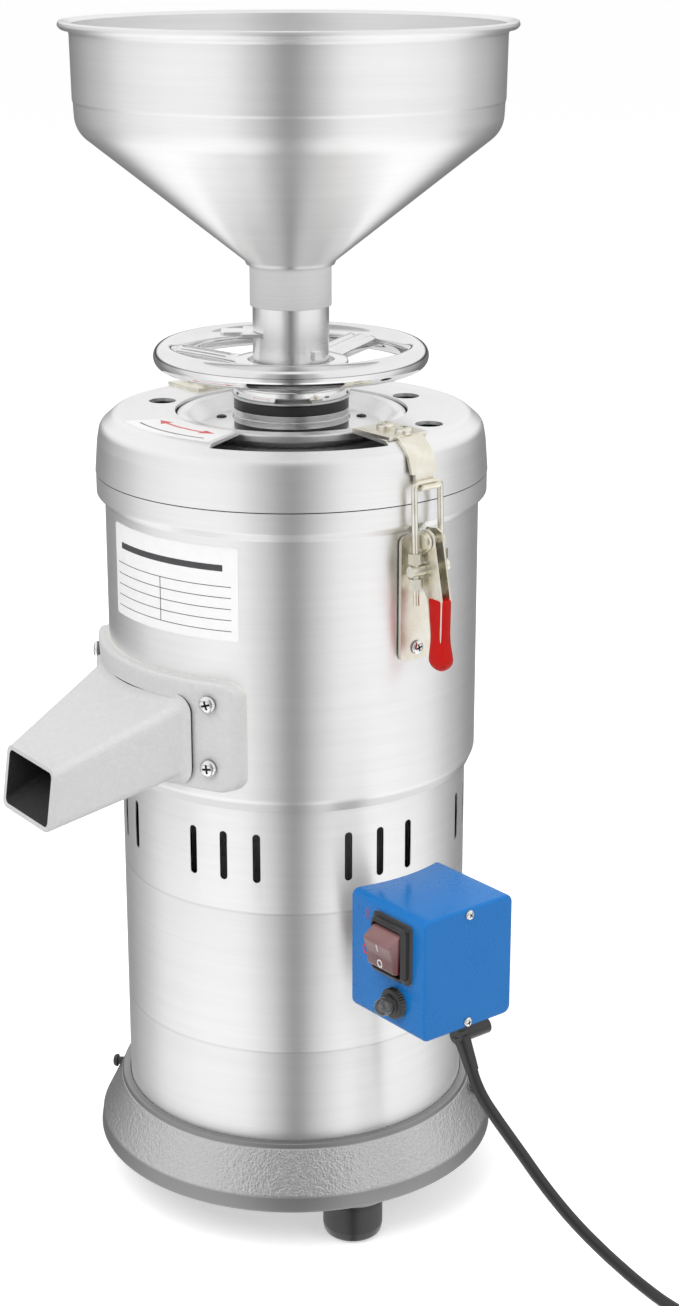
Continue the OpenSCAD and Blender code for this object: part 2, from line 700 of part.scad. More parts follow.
module cover_disc() color([0.86, 0.87, 0.88]) difference() {
  rotate_extrude($fn = 180) polygon([
    [neck_r + 0.6, z_dish - cover_t], [cover_r - 11, z_dish - cover_t], [cover_r - 8, z_dish + 2],
    [cover_r - 5.6, z_lid_top - 3], [cover_r - 3.6, z_lid_top - 2.2], [cover_r - 1.6, z_lid_top - 3],
    [cover_r - 1.4, z_lid_top - 6], [cover_r, z_lid_top - 6], [cover_r, z_lid_top - 2.4],
    [cover_r - 1.6, z_lid_top - 1], [cover_r - 3.6, z_lid_top - 0.5], [cover_r - 6, z_lid_top - 1.4],
    [cover_r - 9.4, z_dish + 3], [cover_r - 11.6, z_dish], [neck_r + 0.6, z_dish]
  ]);
  for (i = [0:2]) at(120 * i) translate([0, -disc_screw_circle_r, z_dish - 3]) cylinder(h = 5, r = 2.2);
}

module disc_screws() color([0.3, 0.3, 0.31])
  for (i = [0:2]) at(120 * i) translate([0, -disc_screw_circle_r, 0]) {
    translate([0, 0, z_head_top - 11]) cylinder(h = z_dish - z_head_top + 11.01, r = 2);
    translate([0, 0, z_dish]) cylinder(h = 1.2, r = 3);
  }

module lower_buffer() color([0.07, 0.07, 0.07]) pipe(z_dish, buffer_low_t, stack_r - 0.8, neck_r + 0.6);

module spacer_rings() color([0.85, 0.86, 0.87])
  for (i = [0, 1]) pipe(z_rings + i * ring_t, ring_t, stack_r - 0.35 * i, neck_r + 0.6);

module upper_buffer() color([0.07, 0.07, 0.07])
  pipe(z_buffer_up, buffer_up_t, stack_r - 0.8, neck_r + 0.6);

// ---------- handwheel, feed and hopper ----------

module wheel_spoke() difference() {
  side(24) polygon([
    [neck_r + 4, z_hub_top - 6], [wheel_r - 4, z_wheel - 3], [wheel_r - 4, z_wheel + 2.5],
    [neck_r + 10, z_hub_top - 0.2], [neck_r + 4, z_hub_top - 0.2]
  ]);
  for (x = [-5, 5]) translate([x, 0, 0]) side(2) polygon([
    [neck_r + 14, z_hub_top - 0.6], [wheel_r - 9, z_wheel + 0.4],
    [wheel_r - 9, z_wheel + 6], [neck_r + 14, z_hub_top + 6]
  ]);
}

module handwheel() color([0.9, 0.91, 0.93]) difference() {
  union() {
    translate([0, 0, z_wheel]) rotate_extrude($fn = 120) translate([wheel_r, 0])
      circle(r = wheel_bar_r, $fn = 48);
    rotate_extrude($fn = 120) polygon([
      [neck_r + 0.05, z_hub], [stack_r, z_hub], [stack_r, z_hub + 7.5], [stack_r - 1.5, z_hub + 8.7],
      [stack_r - 6, z_hub + 10.2], [stack_r - 6, z_hub_top - 7], [stack_r - 1.6, z_hub_top - 5],
      [stack_r - 1, z_hub_top - 1], [stack_r - 2, z_hub_top], [neck_r + 1.2, z_hub_top],
      [neck_r + 0.05, z_hub_top - 1.2]
    ]);
    for (i = [0:2]) at(140 + 120 * i) wheel_spoke();
  }
  translate([0, 0, z_hub - 1]) cylinder(h = 40, r = neck_r + 0.05);
}

module feed_tube() color([0.88, 0.89, 0.9]) {
  difference() {
    pipe(tube_seat_z, tube_top_z - tube_seat_z, feed_tube_r, feed_r);
    translate([-feed_tube_r - 1, -gate_w / 2 - slip, gate_z - slip])
      cube([feed_tube_r + 1, gate_w + 2 * slip, gate_t + 2 * slip]);
  }
  // the key block beside the tube's foot
  at(39) translate([-2.5, -feed_tube_r - 2.6, z_hub_top + 2]) cube([5, 3, 5]);
}

module feed_gate() color([0.8, 0.81, 0.82]) translate([0, 0, gate_z]) {
  linear_extrude(gate_t) intersection() {
    union() {
      circle(r = feed_r - slip);
      translate([-gate_slide_r + 12, -gate_w / 2]) square([gate_slide_r - 12, gate_w]);
    }
    translate([-gate_slide_r, -gate_w / 2]) square([2 * gate_slide_r, gate_w]);
  }
  translate([-gate_slide_r + 6, 0, 0]) linear_extrude(gate_t) rounded(13, 15, 2);
}

// The hopper's outside, from the foot of the cone to the rim.
hopper_line = [
  [feed_tube_r + 2.9, 2], [feed_tube_r + 4.6, 3], [hopper_r - 10.6, cone_h], [hopper_r - 4.9, cone_h + 6],
  [hopper_r - 2.2, cone_h + 11], [hopper_r - 1.3, cone_h + 17], [hopper_r - 0.9, cone_h + 22],
  [hopper_r, cone_h + hopper_h - 4.6]
];

// The collar that slips over the feed tube, closed to the passage by a thin lip.
module hopper_collar() color([0.8, 0.8, 0.8]) translate([0, 0, z_hopper]) rotate_extrude()
  polygon([[collar_in, -collar_h], [collar_r, -collar_h], [collar_r, collar_lip],
           [feed_r, collar_lip], [feed_r, 0], [collar_in, 0]]);

module hopper() color([0.84, 0.85, 0.86])
  translate([0, 0, z_hopper]) rotate_extrude($fn = 180) polygon(concat(
    [[feed_r, collar_lip], [feed_tube_r + 2.9, collar_lip]],
    hopper_line,
    [[hopper_rim_r - 2, cone_h + hopper_h - 4], [hopper_rim_r, cone_h + hopper_h - 2],
     [hopper_rim_r - 0.8, cone_h + hopper_h], [hopper_r - hopper_wall, cone_h + hopper_h - 0.6]],
    [for (i = [7:-1:2]) [hopper_line[i][0] - hopper_wall * 1.1, hopper_line[i][1] + hopper_wall * 0.8]],
    [[feed_r, 3.6]]
  ));

// ---------- spout ----------

// A band bent round the shell behind the spout's flange.
module bent_plate(r_in, r_out) difference() {
  intersection() {
    pipe(flange_z - flange_h / 2 - 1, flange_h + 2, r_out, r_in);
    at(spout_az) outward(10, flange_r) translate([0, flange_z]) rounded(flange_w, flange_h, 9);
  }
  for (k = [-1, 1], s = [-1, 1]) at(spout_az + s * screw_az)
    radial_bar(0, r_in - 6, screw_z + k * screw_dz, 20, 2.7);
}

// A thin slab across the spout: width, height, distance, height of its middle, tilt.
module spout_slab(w, h, y, z, tilt) translate([0, -y, z]) rotate([-tilt, 0, 0])
  rotate([90, 0, 0]) translate([0, 0, -0.5]) linear_extrude(1) rounded(w, h, 5, $fn = 32);

module outlet_spout() color([0.72, 0.71, 0.69]) difference() {
  union() {
    bent_plate(flange_in, flange_r);
    difference() {
      at(spout_az) hull() {
        spout_slab(root_w, root_h, shell_r - 8, spout_z + 1.5, 0);
        spout_slab(mouth_w, mouth_h, spout_reach, spout_z - spout_drop, mouth_tilt);
      }
      translate([0, 0, z_bowl]) cylinder(h = bowl_h, r = flange_in, $fn = 180);
    }
  }
  at(spout_az) hull() {
    spout_slab(pass_w, pass_h, shell_r - 20, spout_z, 0);
    spout_slab(mouth_w - 2 * mouth_wall, mouth_h - 2 * mouth_wall, spout_reach + 1.5,
               spout_z - spout_drop, mouth_tilt);
  }
}

module spout_gasket() color([0.1, 0.1, 0.1]) difference() {
  bent_plate(shell_r, flange_in);
  passage(shell_r - 12, pass_cut);
}

module spout_screws() color([0.78, 0.78, 0.8])
  for (k = [-1, 1], s = [-1, 1]) at(spout_az + s * screw_az)
    pan_screw(0, flange_r, screw_z + k * screw_dz, 5, 3.6, 13, 2.5);

// ---------- latches ----------

strap_bolt_y = [lid_r - 31, lid_r - 15.5];
function latch_screw_z() = latch_top_z - latch_h + 7;

module strap(az) color([0.85, 0.81, 0.7]) at(az) difference() {
  union() {
    side(28) polygon(concat(
      [[lid_hole_r + 4, z_lid_top]], [[lid_point(6, 0)[0] + 2, z_lid_top]],
      [[lid_point(6, 0)[0] + 2, z_lid_top + strap_t], [lid_hole_r + 4, z_lid_top + strap_t]]
    ));
    side(18) polygon(concat(
      [[lid_point(6, 0)[0] - 8, z_lid_top]],
      [for (i = [6:-1:2]) lid_point(i, strap_off(i))],
      [[strap_in_x(), crossbar[1] + 5], [strap_in_x() + strap_t, crossbar[1] + 5]],
      [for (i = [2:6]) lid_point(i, strap_off(i) + strap_t)],
      [[lid_point(6, 0)[0] - 8, z_lid_top + strap_t]]
    ));
    // the hook under the U-bolt's crossbar
    side(hook_w) difference() {
      union() {
        translate([strap_in_x(), crossbar[1] - 1]) square([hook_gap_r, 6.2]);
        translate(hook_mid()) circle(r = hook_gap_r + hook_wall, $fn = 64);
      }
      translate(hook_mid()) circle(r = hook_gap_r, $fn = 64);
      translate([hook_mid()[0] - hook_gap_r, crossbar[1]]) square([30, 30]);
      translate([strap_in_x() - 20, crossbar[1] - 20]) square([20, 40]);
    }
  }
  for (y = strap_bolt_y) translate([0, -y, z_lid_top - 1]) cylinder(h = 6, r = 3 + 0.1);
}
// The strap's distance from the lid: it rests on the top and stands clear of the edge.
function strap_off(i) = i == 6 ? 0 : slip;
function strap_in_x() = crossbar[0] - wire_r - 0.45 - strap_t;
function hook_mid() = [crossbar[0] - wire_r - 0.45 + hook_gap_r, crossbar[1] + 0.25];

module front_strap() strap(latch_az);

module rear_strap() strap(latch_az + 180);

module strap_bolts() color([0.8, 0.78, 0.7]) for (a = [latch_az, latch_az + 180], y = strap_bolt_y)
  at(a) translate([0, -y, 0]) {
    translate([0, 0, z_lid_top - 7]) cylinder(h = 7 + strap_t + 0.01, r = 3);
    translate([0, 0, z_lid_top + strap_t]) rotate_extrude()
      polygon([[0, 0], [5, 0], [5, 1.6], [3.6, 3.2], [0, 3.8]]);
  }

// The base plate: a flat plate with a window, two cheeks and the lever's rivet.
module latch_base(az) color([0.85, 0.81, 0.7]) at(az) {
  difference() {
    outward(latch_y, plate_t) translate([0, latch_top_z - latch_h / 2]) rounded(latch_w, latch_h, 4);
    outward(latch_y - 1, plate_t + 2) translate([0, pivot[1] - 9.5]) rounded(8, 22, 1.5);
    radial_bar(0, latch_y - 1, latch_screw_z(), 6, 2 + 0.1);
  }
  for (s = [-1, 1]) translate([s * (cheek_in + cheek_t / 2), 0, 0]) side(cheek_t) difference() {
    union() {
      polygon([[latch_y + plate_t - 0.5, trunnion[1] - 9], [latch_y + plate_t + 1, trunnion[1] - 8],
               [trunnion[0] - pin_r - 1.6, trunnion[1] + 4], [pivot[0] + 3, pivot[1] - 4.6],
               [pivot[0], pivot[1] + 5.5], [latch_y + plate_t + 2.6, pivot[1] + 5.5],
               [latch_y + plate_t - 0.5, latch_top_z]]);
      translate(pivot) circle(r = 5.5, $fn = 64);
    }
    translate(pivot) circle(r = rivet_r - 0.1);
  }
  cross_bar(-cheek_in - cheek_t - 1.1, pivot[0], pivot[1], 2 * (cheek_in + cheek_t + 1.1), rivet_r);
  for (x = [cheek_in + cheek_t, -cheek_in - cheek_t - 1.1]) cross_bar(x, pivot[0], pivot[1], 1.1, 4.2);
}

module front_latch_base() latch_base(latch_az);

module rear_latch_base() latch_base(latch_az + 180);

module latch_screws() color([0.8, 0.8, 0.82]) for (a = [latch_az, latch_az + 180]) at(a)
  pan_screw(0, latch_y + plate_t, latch_screw_z(), 4, 2.4, 7, 2);

// The lever seen from its side.
module lever_side() {
  polygon([
    [pivot[0] - 6, pivot[1] + 3], [pivot[0] - 7.2, trunnion[1] + 4], [pivot[0] - 6.5, trunnion[1] - 5],
    [pivot[0] + 1.5, pivot[1] - 33], [pivot[0] + 4.6, pivot[1] - 56],
    [pivot[0] + 13, pivot[1] - 56], [pivot[0] + 13.4, pivot[1] - 33], [pivot[0] + 7.4, pivot[1] - 4],
    [pivot[0] + 5.4, pivot[1] + 5], [pivot[0] + 1, pivot[1] + 7], [pivot[0] - 3.5, pivot[1] + 6.2]
  ]);
}

module lever(az) color([0.86, 0.83, 0.73]) at(az) difference() {
  side(lever_w) lever_side();
  // the channel between the two flanges
  side(lever_w - 2 * lever_wall) difference() {
    translate([pivot[0] - 20, pivot[1] - 60]) square([60, 90]);
    polygon([[pivot[0] - 6.2, trunnion[1] - 6], [pivot[0] + 1.5, pivot[1] - 33],
             [pivot[0] + 4, pivot[1] - 58], [pivot[0] + 6, pivot[1] - 58],
             [pivot[0] + 3.4, pivot[1] - 33], [pivot[0] - 4.4, trunnion[1] - 6]]);
  }
  cross_bar(-lever_w, pivot[0], pivot[1], 2 * lever_w, rivet_r + 0.06);
  cross_bar(-lever_w, trunnion[0], trunnion[1], 2 * lever_w, pin_r + 0.06);
}

module front_lever() lever(latch_az);

module rear_lever() lever(latch_az + 180);

// The dip-coated grip over the lever's end.
module grip(az) color([0.75, 0.07, 0.06]) at(az) difference() {
  hull() {
    side(9.6) polygon([
      [pivot[0] + 0.3, pivot[1] - 32], [pivot[0] + 14.6, pivot[1] - 32],
      [pivot[0] + 14.4, pivot[1] - 52], [pivot[0] + 3, pivot[1] - 52]]);
    translate([0, -pivot[0] - 9, pivot[1] - 66]) scale([0.8, 1, 1]) sphere(r = 7.4, $fn = 24);
  }
  side(lever_w + 0.1) offset(delta = 0.05) intersection() {
    lever_side();
    translate([0, pivot[1] - 60]) square([400, 28.1]);
  }
}

module front_grip() grip(latch_az);

module rear_grip() grip(latch_az + 180);

// The U-bolt with its trunnion pin and four nuts.
module ubolt(az) color([0.87, 0.85, 0.78]) at(az) {
  leg = sqrt(pow(crossbar[0] - trunnion[0], 2) + pow(crossbar[1] - trunnion[1], 2));
  lean = atan2(trunnion[0] - crossbar[0], crossbar[1] - trunnion[1]);
  bend_r = 3;
  translate([0, -trunnion[0], trunnion[1]]) rotate([-lean, 0, 0]) {
    for (s = [-1, 1]) {
      translate([s * leg_t, 0, -leg_below]) cylinder(h = leg + leg_below - bend_r, r = wire_r, $fn = 32);
      translate([s * (leg_t - bend_r), 0, leg - bend_r]) rotate([90, 0, 0])
        rotate([0, 0, s > 0 ? 0 : 90]) rotate_extrude(angle = 90) translate([bend_r, 0])
          circle(r = wire_r, $fn = 32);
      for (z = [-nut_h - 4.2, 4.2]) translate([s * leg_t, 0, z]) rotate([0, 0, 30]) difference() {
        cylinder(h = nut_h, r = nut_r, $fn = 6);
        translate([0, 0, -1]) cylinder(h = 8, r = wire_r + fit, $fn = 32);
      }
    }
    translate([-leg_t + bend_r, 0, leg]) rotate([0, 90, 0])
      cylinder(h = 2 * (leg_t - bend_r), r = wire_r, $fn = 32);
    difference() {
      translate([-leg_t - 4, 0, 0]) rotate([0, 90, 0]) cylinder(h = 2 * leg_t + 8, r = pin_r, $fn = 48);
      for (s = [-1, 1]) translate([s * leg_t, 0, -6]) cylinder(h = 12, r = wire_r + fit, $fn = 32);
    }
  }
}

module front_ubolt() ubolt(latch_az);

module rear_ubolt() ubolt(latch_az + 180);

// ---------- switch box ----------

module control_box() color([0.13, 0.45, 0.82]) difference() {
  at(box_az) outward(tube_r - box_root, box_depth + box_root) translate([0, box_mid_z])
    rounded(box_w, box_h, box_corner);
  translate([0, 0, box_z - 1]) cylinder(h = box_h + 2, r = tube_r + slip, $fn = 180);
  at(box_az) {
    difference() {
      outward(tube_r - box_cut, box_depth - box_wall + box_cut) translate([0, box_mid_z])
        rounded(box_w - 2 * box_wall, box_h - 2 * box_wall, 3);
      for (k = [-1, 1])
        radial_bar(0, tube_r - box_cut, box_mid_z + k * box_screw_dz, box_depth + 2 * box_cut, 4.5);
    }
    for (k = [-1, 1])
      radial_bar(0, tube_r - box_cut, box_mid_z + k * box_screw_dz, box_depth + 2 * box_cut, 1.6);
    translate([-box_w / 2 - 1, 0, 0]) side(2 * box_wall + 4) translate([bezel_rho, bezel_z])
      square([bezel_w - 5 + slip, bezel_h - 5 + slip], center = true);
    cross_bar(-box_w / 2 - 1, reset_rho, reset_z, box_wall + 2, 7.2);
    translate([stub_x, -stub_rho, box_z - 1]) cylinder(h = box_wall + 2, r = stub_r + 0.1);
  }
}

module box_screws() color([0.8, 0.8, 0.82]) at(box_az) for (k = [-1, 1])
  pan_screw(0, box_reach, box_mid_z + k * box_screw_dz, 2.8, 1.6, box_depth + box_screw_bite, 1.5);

module switch_bezel() color([0.06, 0.06, 0.06]) at(box_az) difference() {
  union() {
    translate([-box_w / 2 - bezel_t / 2, 0, 0]) side(bezel_t) translate([bezel_rho, bezel_z])
      rounded(bezel_w, bezel_h, 2);
    translate([-box_w / 2 - bezel_t - 1.2, 0, 0]) side(2.4) translate([bezel_rho, bezel_z])
      rounded(bezel_w - 4, bezel_h - 4, 4);
    translate([-box_w / 2 + 12, 0, 0]) side(24) translate([bezel_rho, bezel_z])
      square([bezel_w - 5, bezel_h - 5], center = true);
  }
  translate([rocker_x - 6, 0, 0]) side(44) translate([bezel_rho, bezel_z])
    square([rocker_w + 2 * slip, 2 * rocker_r + 2 * slip], center = true);
}

// The rocker turns about a radial axis; its top end stands out at rest.
module rocker() color([0.6, 0.06, 0.07]) at(box_az) translate([0, -bezel_rho + rocker_w / 2, 0])
  rotate([90, 0, 0]) linear_extrude(rocker_w) translate([rocker_x, bezel_z]) rotate(rocker_tilt)
    intersection() {
      circle(r = rocker_r);
      polygon([[10, -20], [10, 20], [-9.5, 20], [-6, 0], [-9.5, -20]]);
    }

module reset_nut() color([0.1, 0.1, 0.1]) at(box_az) difference() {
  union() {
    cross_bar(-box_w / 2 - 4.5, reset_rho, reset_z, 4.5, reset_r);
    cross_bar(-box_w / 2 - 6.5, reset_rho, reset_z, 22, 7);
    for (i = [0:35]) translate([-box_w / 2 - 3.6, -reset_rho, reset_z]) rotate([10 * i, 0, 0])
      translate([0, 0, reset_r - 0.4]) cube([3, 0.7, 0.8]);
  }
  cross_bar(-box_w / 2 - 8, reset_rho, reset_z, 40, 5.6);
}

module reset_button() color([0.75, 0.78, 0.8]) at(box_az) translate([-box_w / 2, -reset_rho, reset_z])
  rotate([0, -90, 0]) rotate_extrude() polygon([
    [0, -12], [5.5, -12], [5.5, 9.5], [5.1, 11.5], [4.2, 13], [2.6, 14.1], [0, 14.5]]);

// The sleeve under the box, its stub through the box's floor and the strain relief.
module cord_gland() color([0.05, 0.05, 0.05]) {
  at(box_az) {
    cross_bar(-6, gland_rho, gland_z, 24, sleeve_cord_r);
    translate([stub_x, -stub_rho, gland_z]) cylinder(h = box_z - gland_z + box_wall + 3, r = stub_r);
  }
  span = cord_route[0] - relief_top;
  l = norm(span);
  translate(relief_top) rotate([0, acos(span[2] / l), atan2(span[1], span[0])])
    cylinder(h = l, r1 = sleeve_cord_r + 0.2, r2 = cord_r + 0.5);
}

// ---------- cord ----------

function unit(v) = v / norm(v);

// The direction of a route at its point i.
function heading(p, i) = unit(p[min(i + 1, len(p) - 1)] - p[max(i - 1, 0)]);

// A closed tube of r round a route, with straight square ends.
module sweep_tube(p, r, sides) {
  n = len(p);
  rings = [for (i = [0:n - 1])
    let (t = i == 0 ? unit(p[1] - p[0]) : i == n - 1 ? unit(p[n - 1] - p[n - 2]) : heading(p, i),
         s = unit(cross(t, [0, 0, 1])), u = cross(s, t))
    for (k = [0:sides - 1]) let (a = 360 * k / sides + 90) p[i] + r * (cos(a) * s + sin(a) * u)];
  walls = [for (i = [0:n - 2], k = [0:sides - 1])
    let (a = i * sides + k, b = i * sides + (k + 1) % sides)
    each [[a, b, a + sides], [b, b + sides, a + sides]]];
  last = (n - 1) * sides;
  caps = [for (k = [1:sides - 2]) each [[0, k + 1, k], [last, last + k, last + k + 1]]];
  polyhedron(points = rings, faces = concat(walls, caps), convexity = 6);
}

// A point of the coil after the angle a: in over the lower layer, out over the upper.
function coil_point(a) =
  let (half = 180 * coil_turns, inward = min(a, 2 * half - a),
       r = coil_r_out - coil_pitch * inward / 360,
       climb = min(1, max(0, (a - half + 90) / 180)),
       at_a = coil_start - a)
  [coil_mid[0] + r * cos(at_a), coil_mid[1] + r * sin(at_a), coil_z + coil_pitch * climb];

coil_sweep = 360 * coil_turns;
coil_last = round(coil_turns * coil_steps);
coil_route = concat(
  [coil_point(0) - 2 * cord_r * unit(coil_point(4) - coil_point(0))],
  [for (i = [0:coil_last]) coil_point(coil_sweep * i / coil_last)],
  [coil_point(coil_sweep) + 2 * cord_r * [0, -1, 0]],
  [coil_point(coil_sweep) + coil_lead * [0, -1, 0]]
);

// The least gap between two turns of the coil, measured on its points.
coil_gap = min([for (i = [0:len(coil_route) - 1], j = [i + 9:1:len(coil_route) - 1])
  norm(coil_route[i] - coil_route[j])]) - 2 * cord_r;
echo(coil_gap = coil_gap);

function route_length(p) = len(p) < 2 ? 0 : sum_of([for (i = [1:len(p) - 1]) norm(p[i] - p[i - 1])]);
function sum_of(v) = v * [for (x = v) 1];
echo(cord_length = route_length(concat([relief_top], cord_route, coil_route)));

module power_cord() color([0.05, 0.05, 0.05])
  sweep_tube(concat(cord_route, [coil_route[0]]), cord_r, cord_sides);

module cord_coil() color([0.05, 0.05, 0.05]) sweep_tube(coil_route, cord_r, coil_sides);

module plug() color([0.06, 0.06, 0.06]) {
  end = coil_route[len(coil_route) - 1];
  translate(end) rotate([90, 0, 0]) {
    cylinder(h = 16, r1 = cord_r + 0.6, r2 = 6);
    translate([0, 0, 14]) linear_extrude(plug_l - 14) rounded(plug_w, plug_h, 6, $fn = 48);
    color([0.8, 0.75, 0.5]) {
      for (x = [-6.35, 6.35]) translate([x - 0.75, -1, plug_l - 1]) cube([1.5, 6.4, 18]);
      translate([0, -6.5, plug_l - 1]) cylinder(h = 20, r = 2.4);
    }
  }
}

base_casting();
bottom_cover();
rubber_feet();
foot_bolts();
base_screws();
motor_shell();
lower_end_shield();
upper_end_shield();
bearings();
tie_bolts();
stator_core();
stator_windings();
rotor_core();
motor_shaft();
cooling_fan();
shaft_seal();
grinding_bowl();
slinger();
lower_grinding_disc();
feed_impeller();
upper_grinding_disc();
disc_holder();
head_casting();
upper_shell();
lid_cover();
cover_disc();
disc_screws();
lower_buffer();
spacer_rings();
upper_buffer();
handwheel();
feed_tube();
feed_gate();
hopper_collar();
hopper();
outlet_spout();
spout_gasket();
spout_screws();
front_strap();
rear_strap();
strap_bolts();
front_latch_base();
rear_latch_base();
front_lever();
rear_lever();
front_grip();
rear_grip();
front_ubolt();
rear_ubolt();
latch_screws();
control_box();
box_screws();
switch_bezel();
rocker();
reset_nut();
reset_button();
cord_gland();
power_cord();
cord_coil();
plug();
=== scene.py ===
import json
import math

import bmesh
import bpy
import numpy as np
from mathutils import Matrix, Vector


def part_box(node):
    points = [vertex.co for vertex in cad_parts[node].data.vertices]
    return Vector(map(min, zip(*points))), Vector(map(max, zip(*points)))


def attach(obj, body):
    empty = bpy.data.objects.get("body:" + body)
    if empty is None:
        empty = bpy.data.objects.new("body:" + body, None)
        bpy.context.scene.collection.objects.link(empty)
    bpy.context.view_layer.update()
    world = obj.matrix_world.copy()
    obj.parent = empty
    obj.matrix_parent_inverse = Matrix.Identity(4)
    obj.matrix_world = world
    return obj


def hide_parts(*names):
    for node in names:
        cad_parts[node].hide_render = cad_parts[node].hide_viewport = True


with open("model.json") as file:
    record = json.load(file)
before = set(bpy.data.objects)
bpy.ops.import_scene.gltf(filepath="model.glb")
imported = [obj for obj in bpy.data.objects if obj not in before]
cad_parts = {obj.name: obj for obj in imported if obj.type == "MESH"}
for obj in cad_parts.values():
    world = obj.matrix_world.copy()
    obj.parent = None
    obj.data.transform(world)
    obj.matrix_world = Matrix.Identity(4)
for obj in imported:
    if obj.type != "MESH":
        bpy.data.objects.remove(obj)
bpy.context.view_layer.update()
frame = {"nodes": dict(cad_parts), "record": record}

MM = 0.001


def span(node):
    """The lowest and highest corner of a CAD node, in millimetres."""
    low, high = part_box(node)
    return np.array(low) / MM, np.array(high) / MM


# ---------- sizes of the machine, read from the frame where a node has them ----------
# A screw head is its radius, its height and half the length of its cross.

base_high = span("base_casting")[1]
tube_low, tube_high = span("motor_shell")
shell_low = span("upper_shell")[0]
lid_low, lid_high = span("lid_cover")
hopper_high = span("hopper")[1]
wheel_low, wheel_high = span("handwheel")

BASE_R = base_high[0]
BASE_Z = 29.3
BASE_TOP = BASE_Z + 38.2
BASE_BAND = 9.9
BASE_HOLE_R = 22.0
TUBE_R = tube_high[0]
TUBE_Z = tube_low[2]
TUBE_TOP = tube_high[2]
SHEET_WALL = 1.4
SHELL_R = 110.0
SHELL_Z = shell_low[2]
LID_R = lid_high[0]
LID_Z = lid_low[2]
LID_TOP = lid_high[2]
LID_WALL = 2.0
COVER_R = span("cover_disc")[1][0]
DISH_Z = LID_TOP - 10.0
NECK_R = 24.95
HOPPER_Z = span("hopper_collar")[1][2] - 0.4
HOPPER_R = 122.3
RIM_R = hopper_high[0]
HOPPER_H = hopper_high[2] - HOPPER_Z
HOPPER_FOOT_R = 25.4
CONE_R = 120.4
CONE_H = 76.8
BEAD_H = 92.0
THROAT_R = 20.3
COLLAR_R = span("hopper_collar")[1][0]
COLLAR_H = 23.0
WHEEL_BAR_R = 7.0
WHEEL_R = wheel_high[0] - WHEEL_BAR_R
WHEEL_Z = wheel_high[2] - WHEEL_BAR_R
HUB_Z = wheel_low[2]
HUB_R = 34.4
HUB_TOP = HUB_Z + 21.7
SPOKE_AZ = (140, 260, 20)
SPOKE_W = 22.0
FOOT_AZ = (20, 140, 260)
FOOT_CIRCLE_R = 100.0
FOOT_R = 18.0
FOOT_BORE_R = 4.05
FOOT_SOCKET_R = 7.5
FOOT_H = 28.5
POST_AZ = (45, 135, 225, 315)
POST_CIRCLE_R = 90.0
POST_R = 7.0
POST_H = 46.5
SLOT_Z = 247.8
SLOT_SIZE = (4.6, 30.0)
SLOT_GROUPS = 7
SLOT_FIRST_AZ = -23.0
SLOT_STEP_AZ = 11.0
SEAM_Z = (125.1, 213.6)
LATCH_AZ = 38.5
LATCH_SCREW_Z = 370.4
LATCH_FACE = SHELL_R + 2.3
SPOUT_HEAD = (5, 3.4, 3.0)
LATCH_HEAD = (4, 2.3, 2.5)
BOX_HEAD = (2.8, 1.6, 1.8)
STRAP_HEAD = (5, 3.7, 2.6)
DISC_HEAD = (3, 1.2, 1.6)
DISC_SCREW_RHO = 48
STRAP_BOLTS = (84.1, 99.6)
GRIP_TOP = 403.2
GRIP_END = 361.4
SPOUT_AZ = -56.5
FLANGE_IN = 111.5
FLANGE_OUT = 116.5
FLANGE_SIZE = (149.76, 65.4)
FLANGE_Z = 323.3
SPOUT_INSIDE = 100.0
SPOUT_ROOT = (100.0, 45.0)
SPOUT_ROOT_Z = 321.0
SPOUT_MOUTH = (56.2, 37.6)
SPOUT_REACH = 181.4
SPOUT_MOUTH_Z = 291.5
SPOUT_TILT = 7.9
SPOUT_WALL = 2.8
SPOUT_SCREWS = (32.2, 19.0, 324.3)
BOX_AZ = 37.2
BOX_REACH = 164.0
BOX_SIZE = (67.0, 75.0)
BOX_MID_Z = 191.0
BOX_SCREW_DZ = 33.5
BOX_EDGE = 2.2
SWITCH_RHO = 137.5
SWITCH_Z = 204.2
BEZEL_SIZE = (33.0, 36.5)
ROCKER_PIVOT = 36.0
ROCKER_R = 13.6
ROCKER_W = 24.0
ROCKER_TILT = 12.0
ROCKER_FACE = 8.6
RESET_RHO = 140.0
RESET_Z = 171.0
LID_HOLE_R = 8.0
LID_HOLES = ((-4.75, -107), (-7.75, 117), (5.25, 60))
WINDOW_AZ = (-25, 30)
CAMERA_LENS = 64.995
CAMERA_SENSOR = 36
CAMERA_PLACE = (0, -1.35716, 0.77151)
CAMERA_DIP = 17.6693
CAMERA_TURN = -1.1863


# ---------- the camera, at the photograph's viewing angle ----------

def make_camera():
    """A long lens a little above the machine, looking down on it."""
    camera = bpy.data.cameras.new("camera")
    camera.lens = CAMERA_LENS
    camera.sensor_width = CAMERA_SENSOR
    holder = bpy.data.objects.new("camera", camera)
    holder.location = CAMERA_PLACE
    holder.rotation_euler = (math.radians(90 - CAMERA_DIP), 0, math.radians(CAMERA_TURN))
    bpy.context.scene.collection.objects.link(holder)
    bpy.context.scene.camera = holder


make_camera()


# ---------- shader expressions ----------

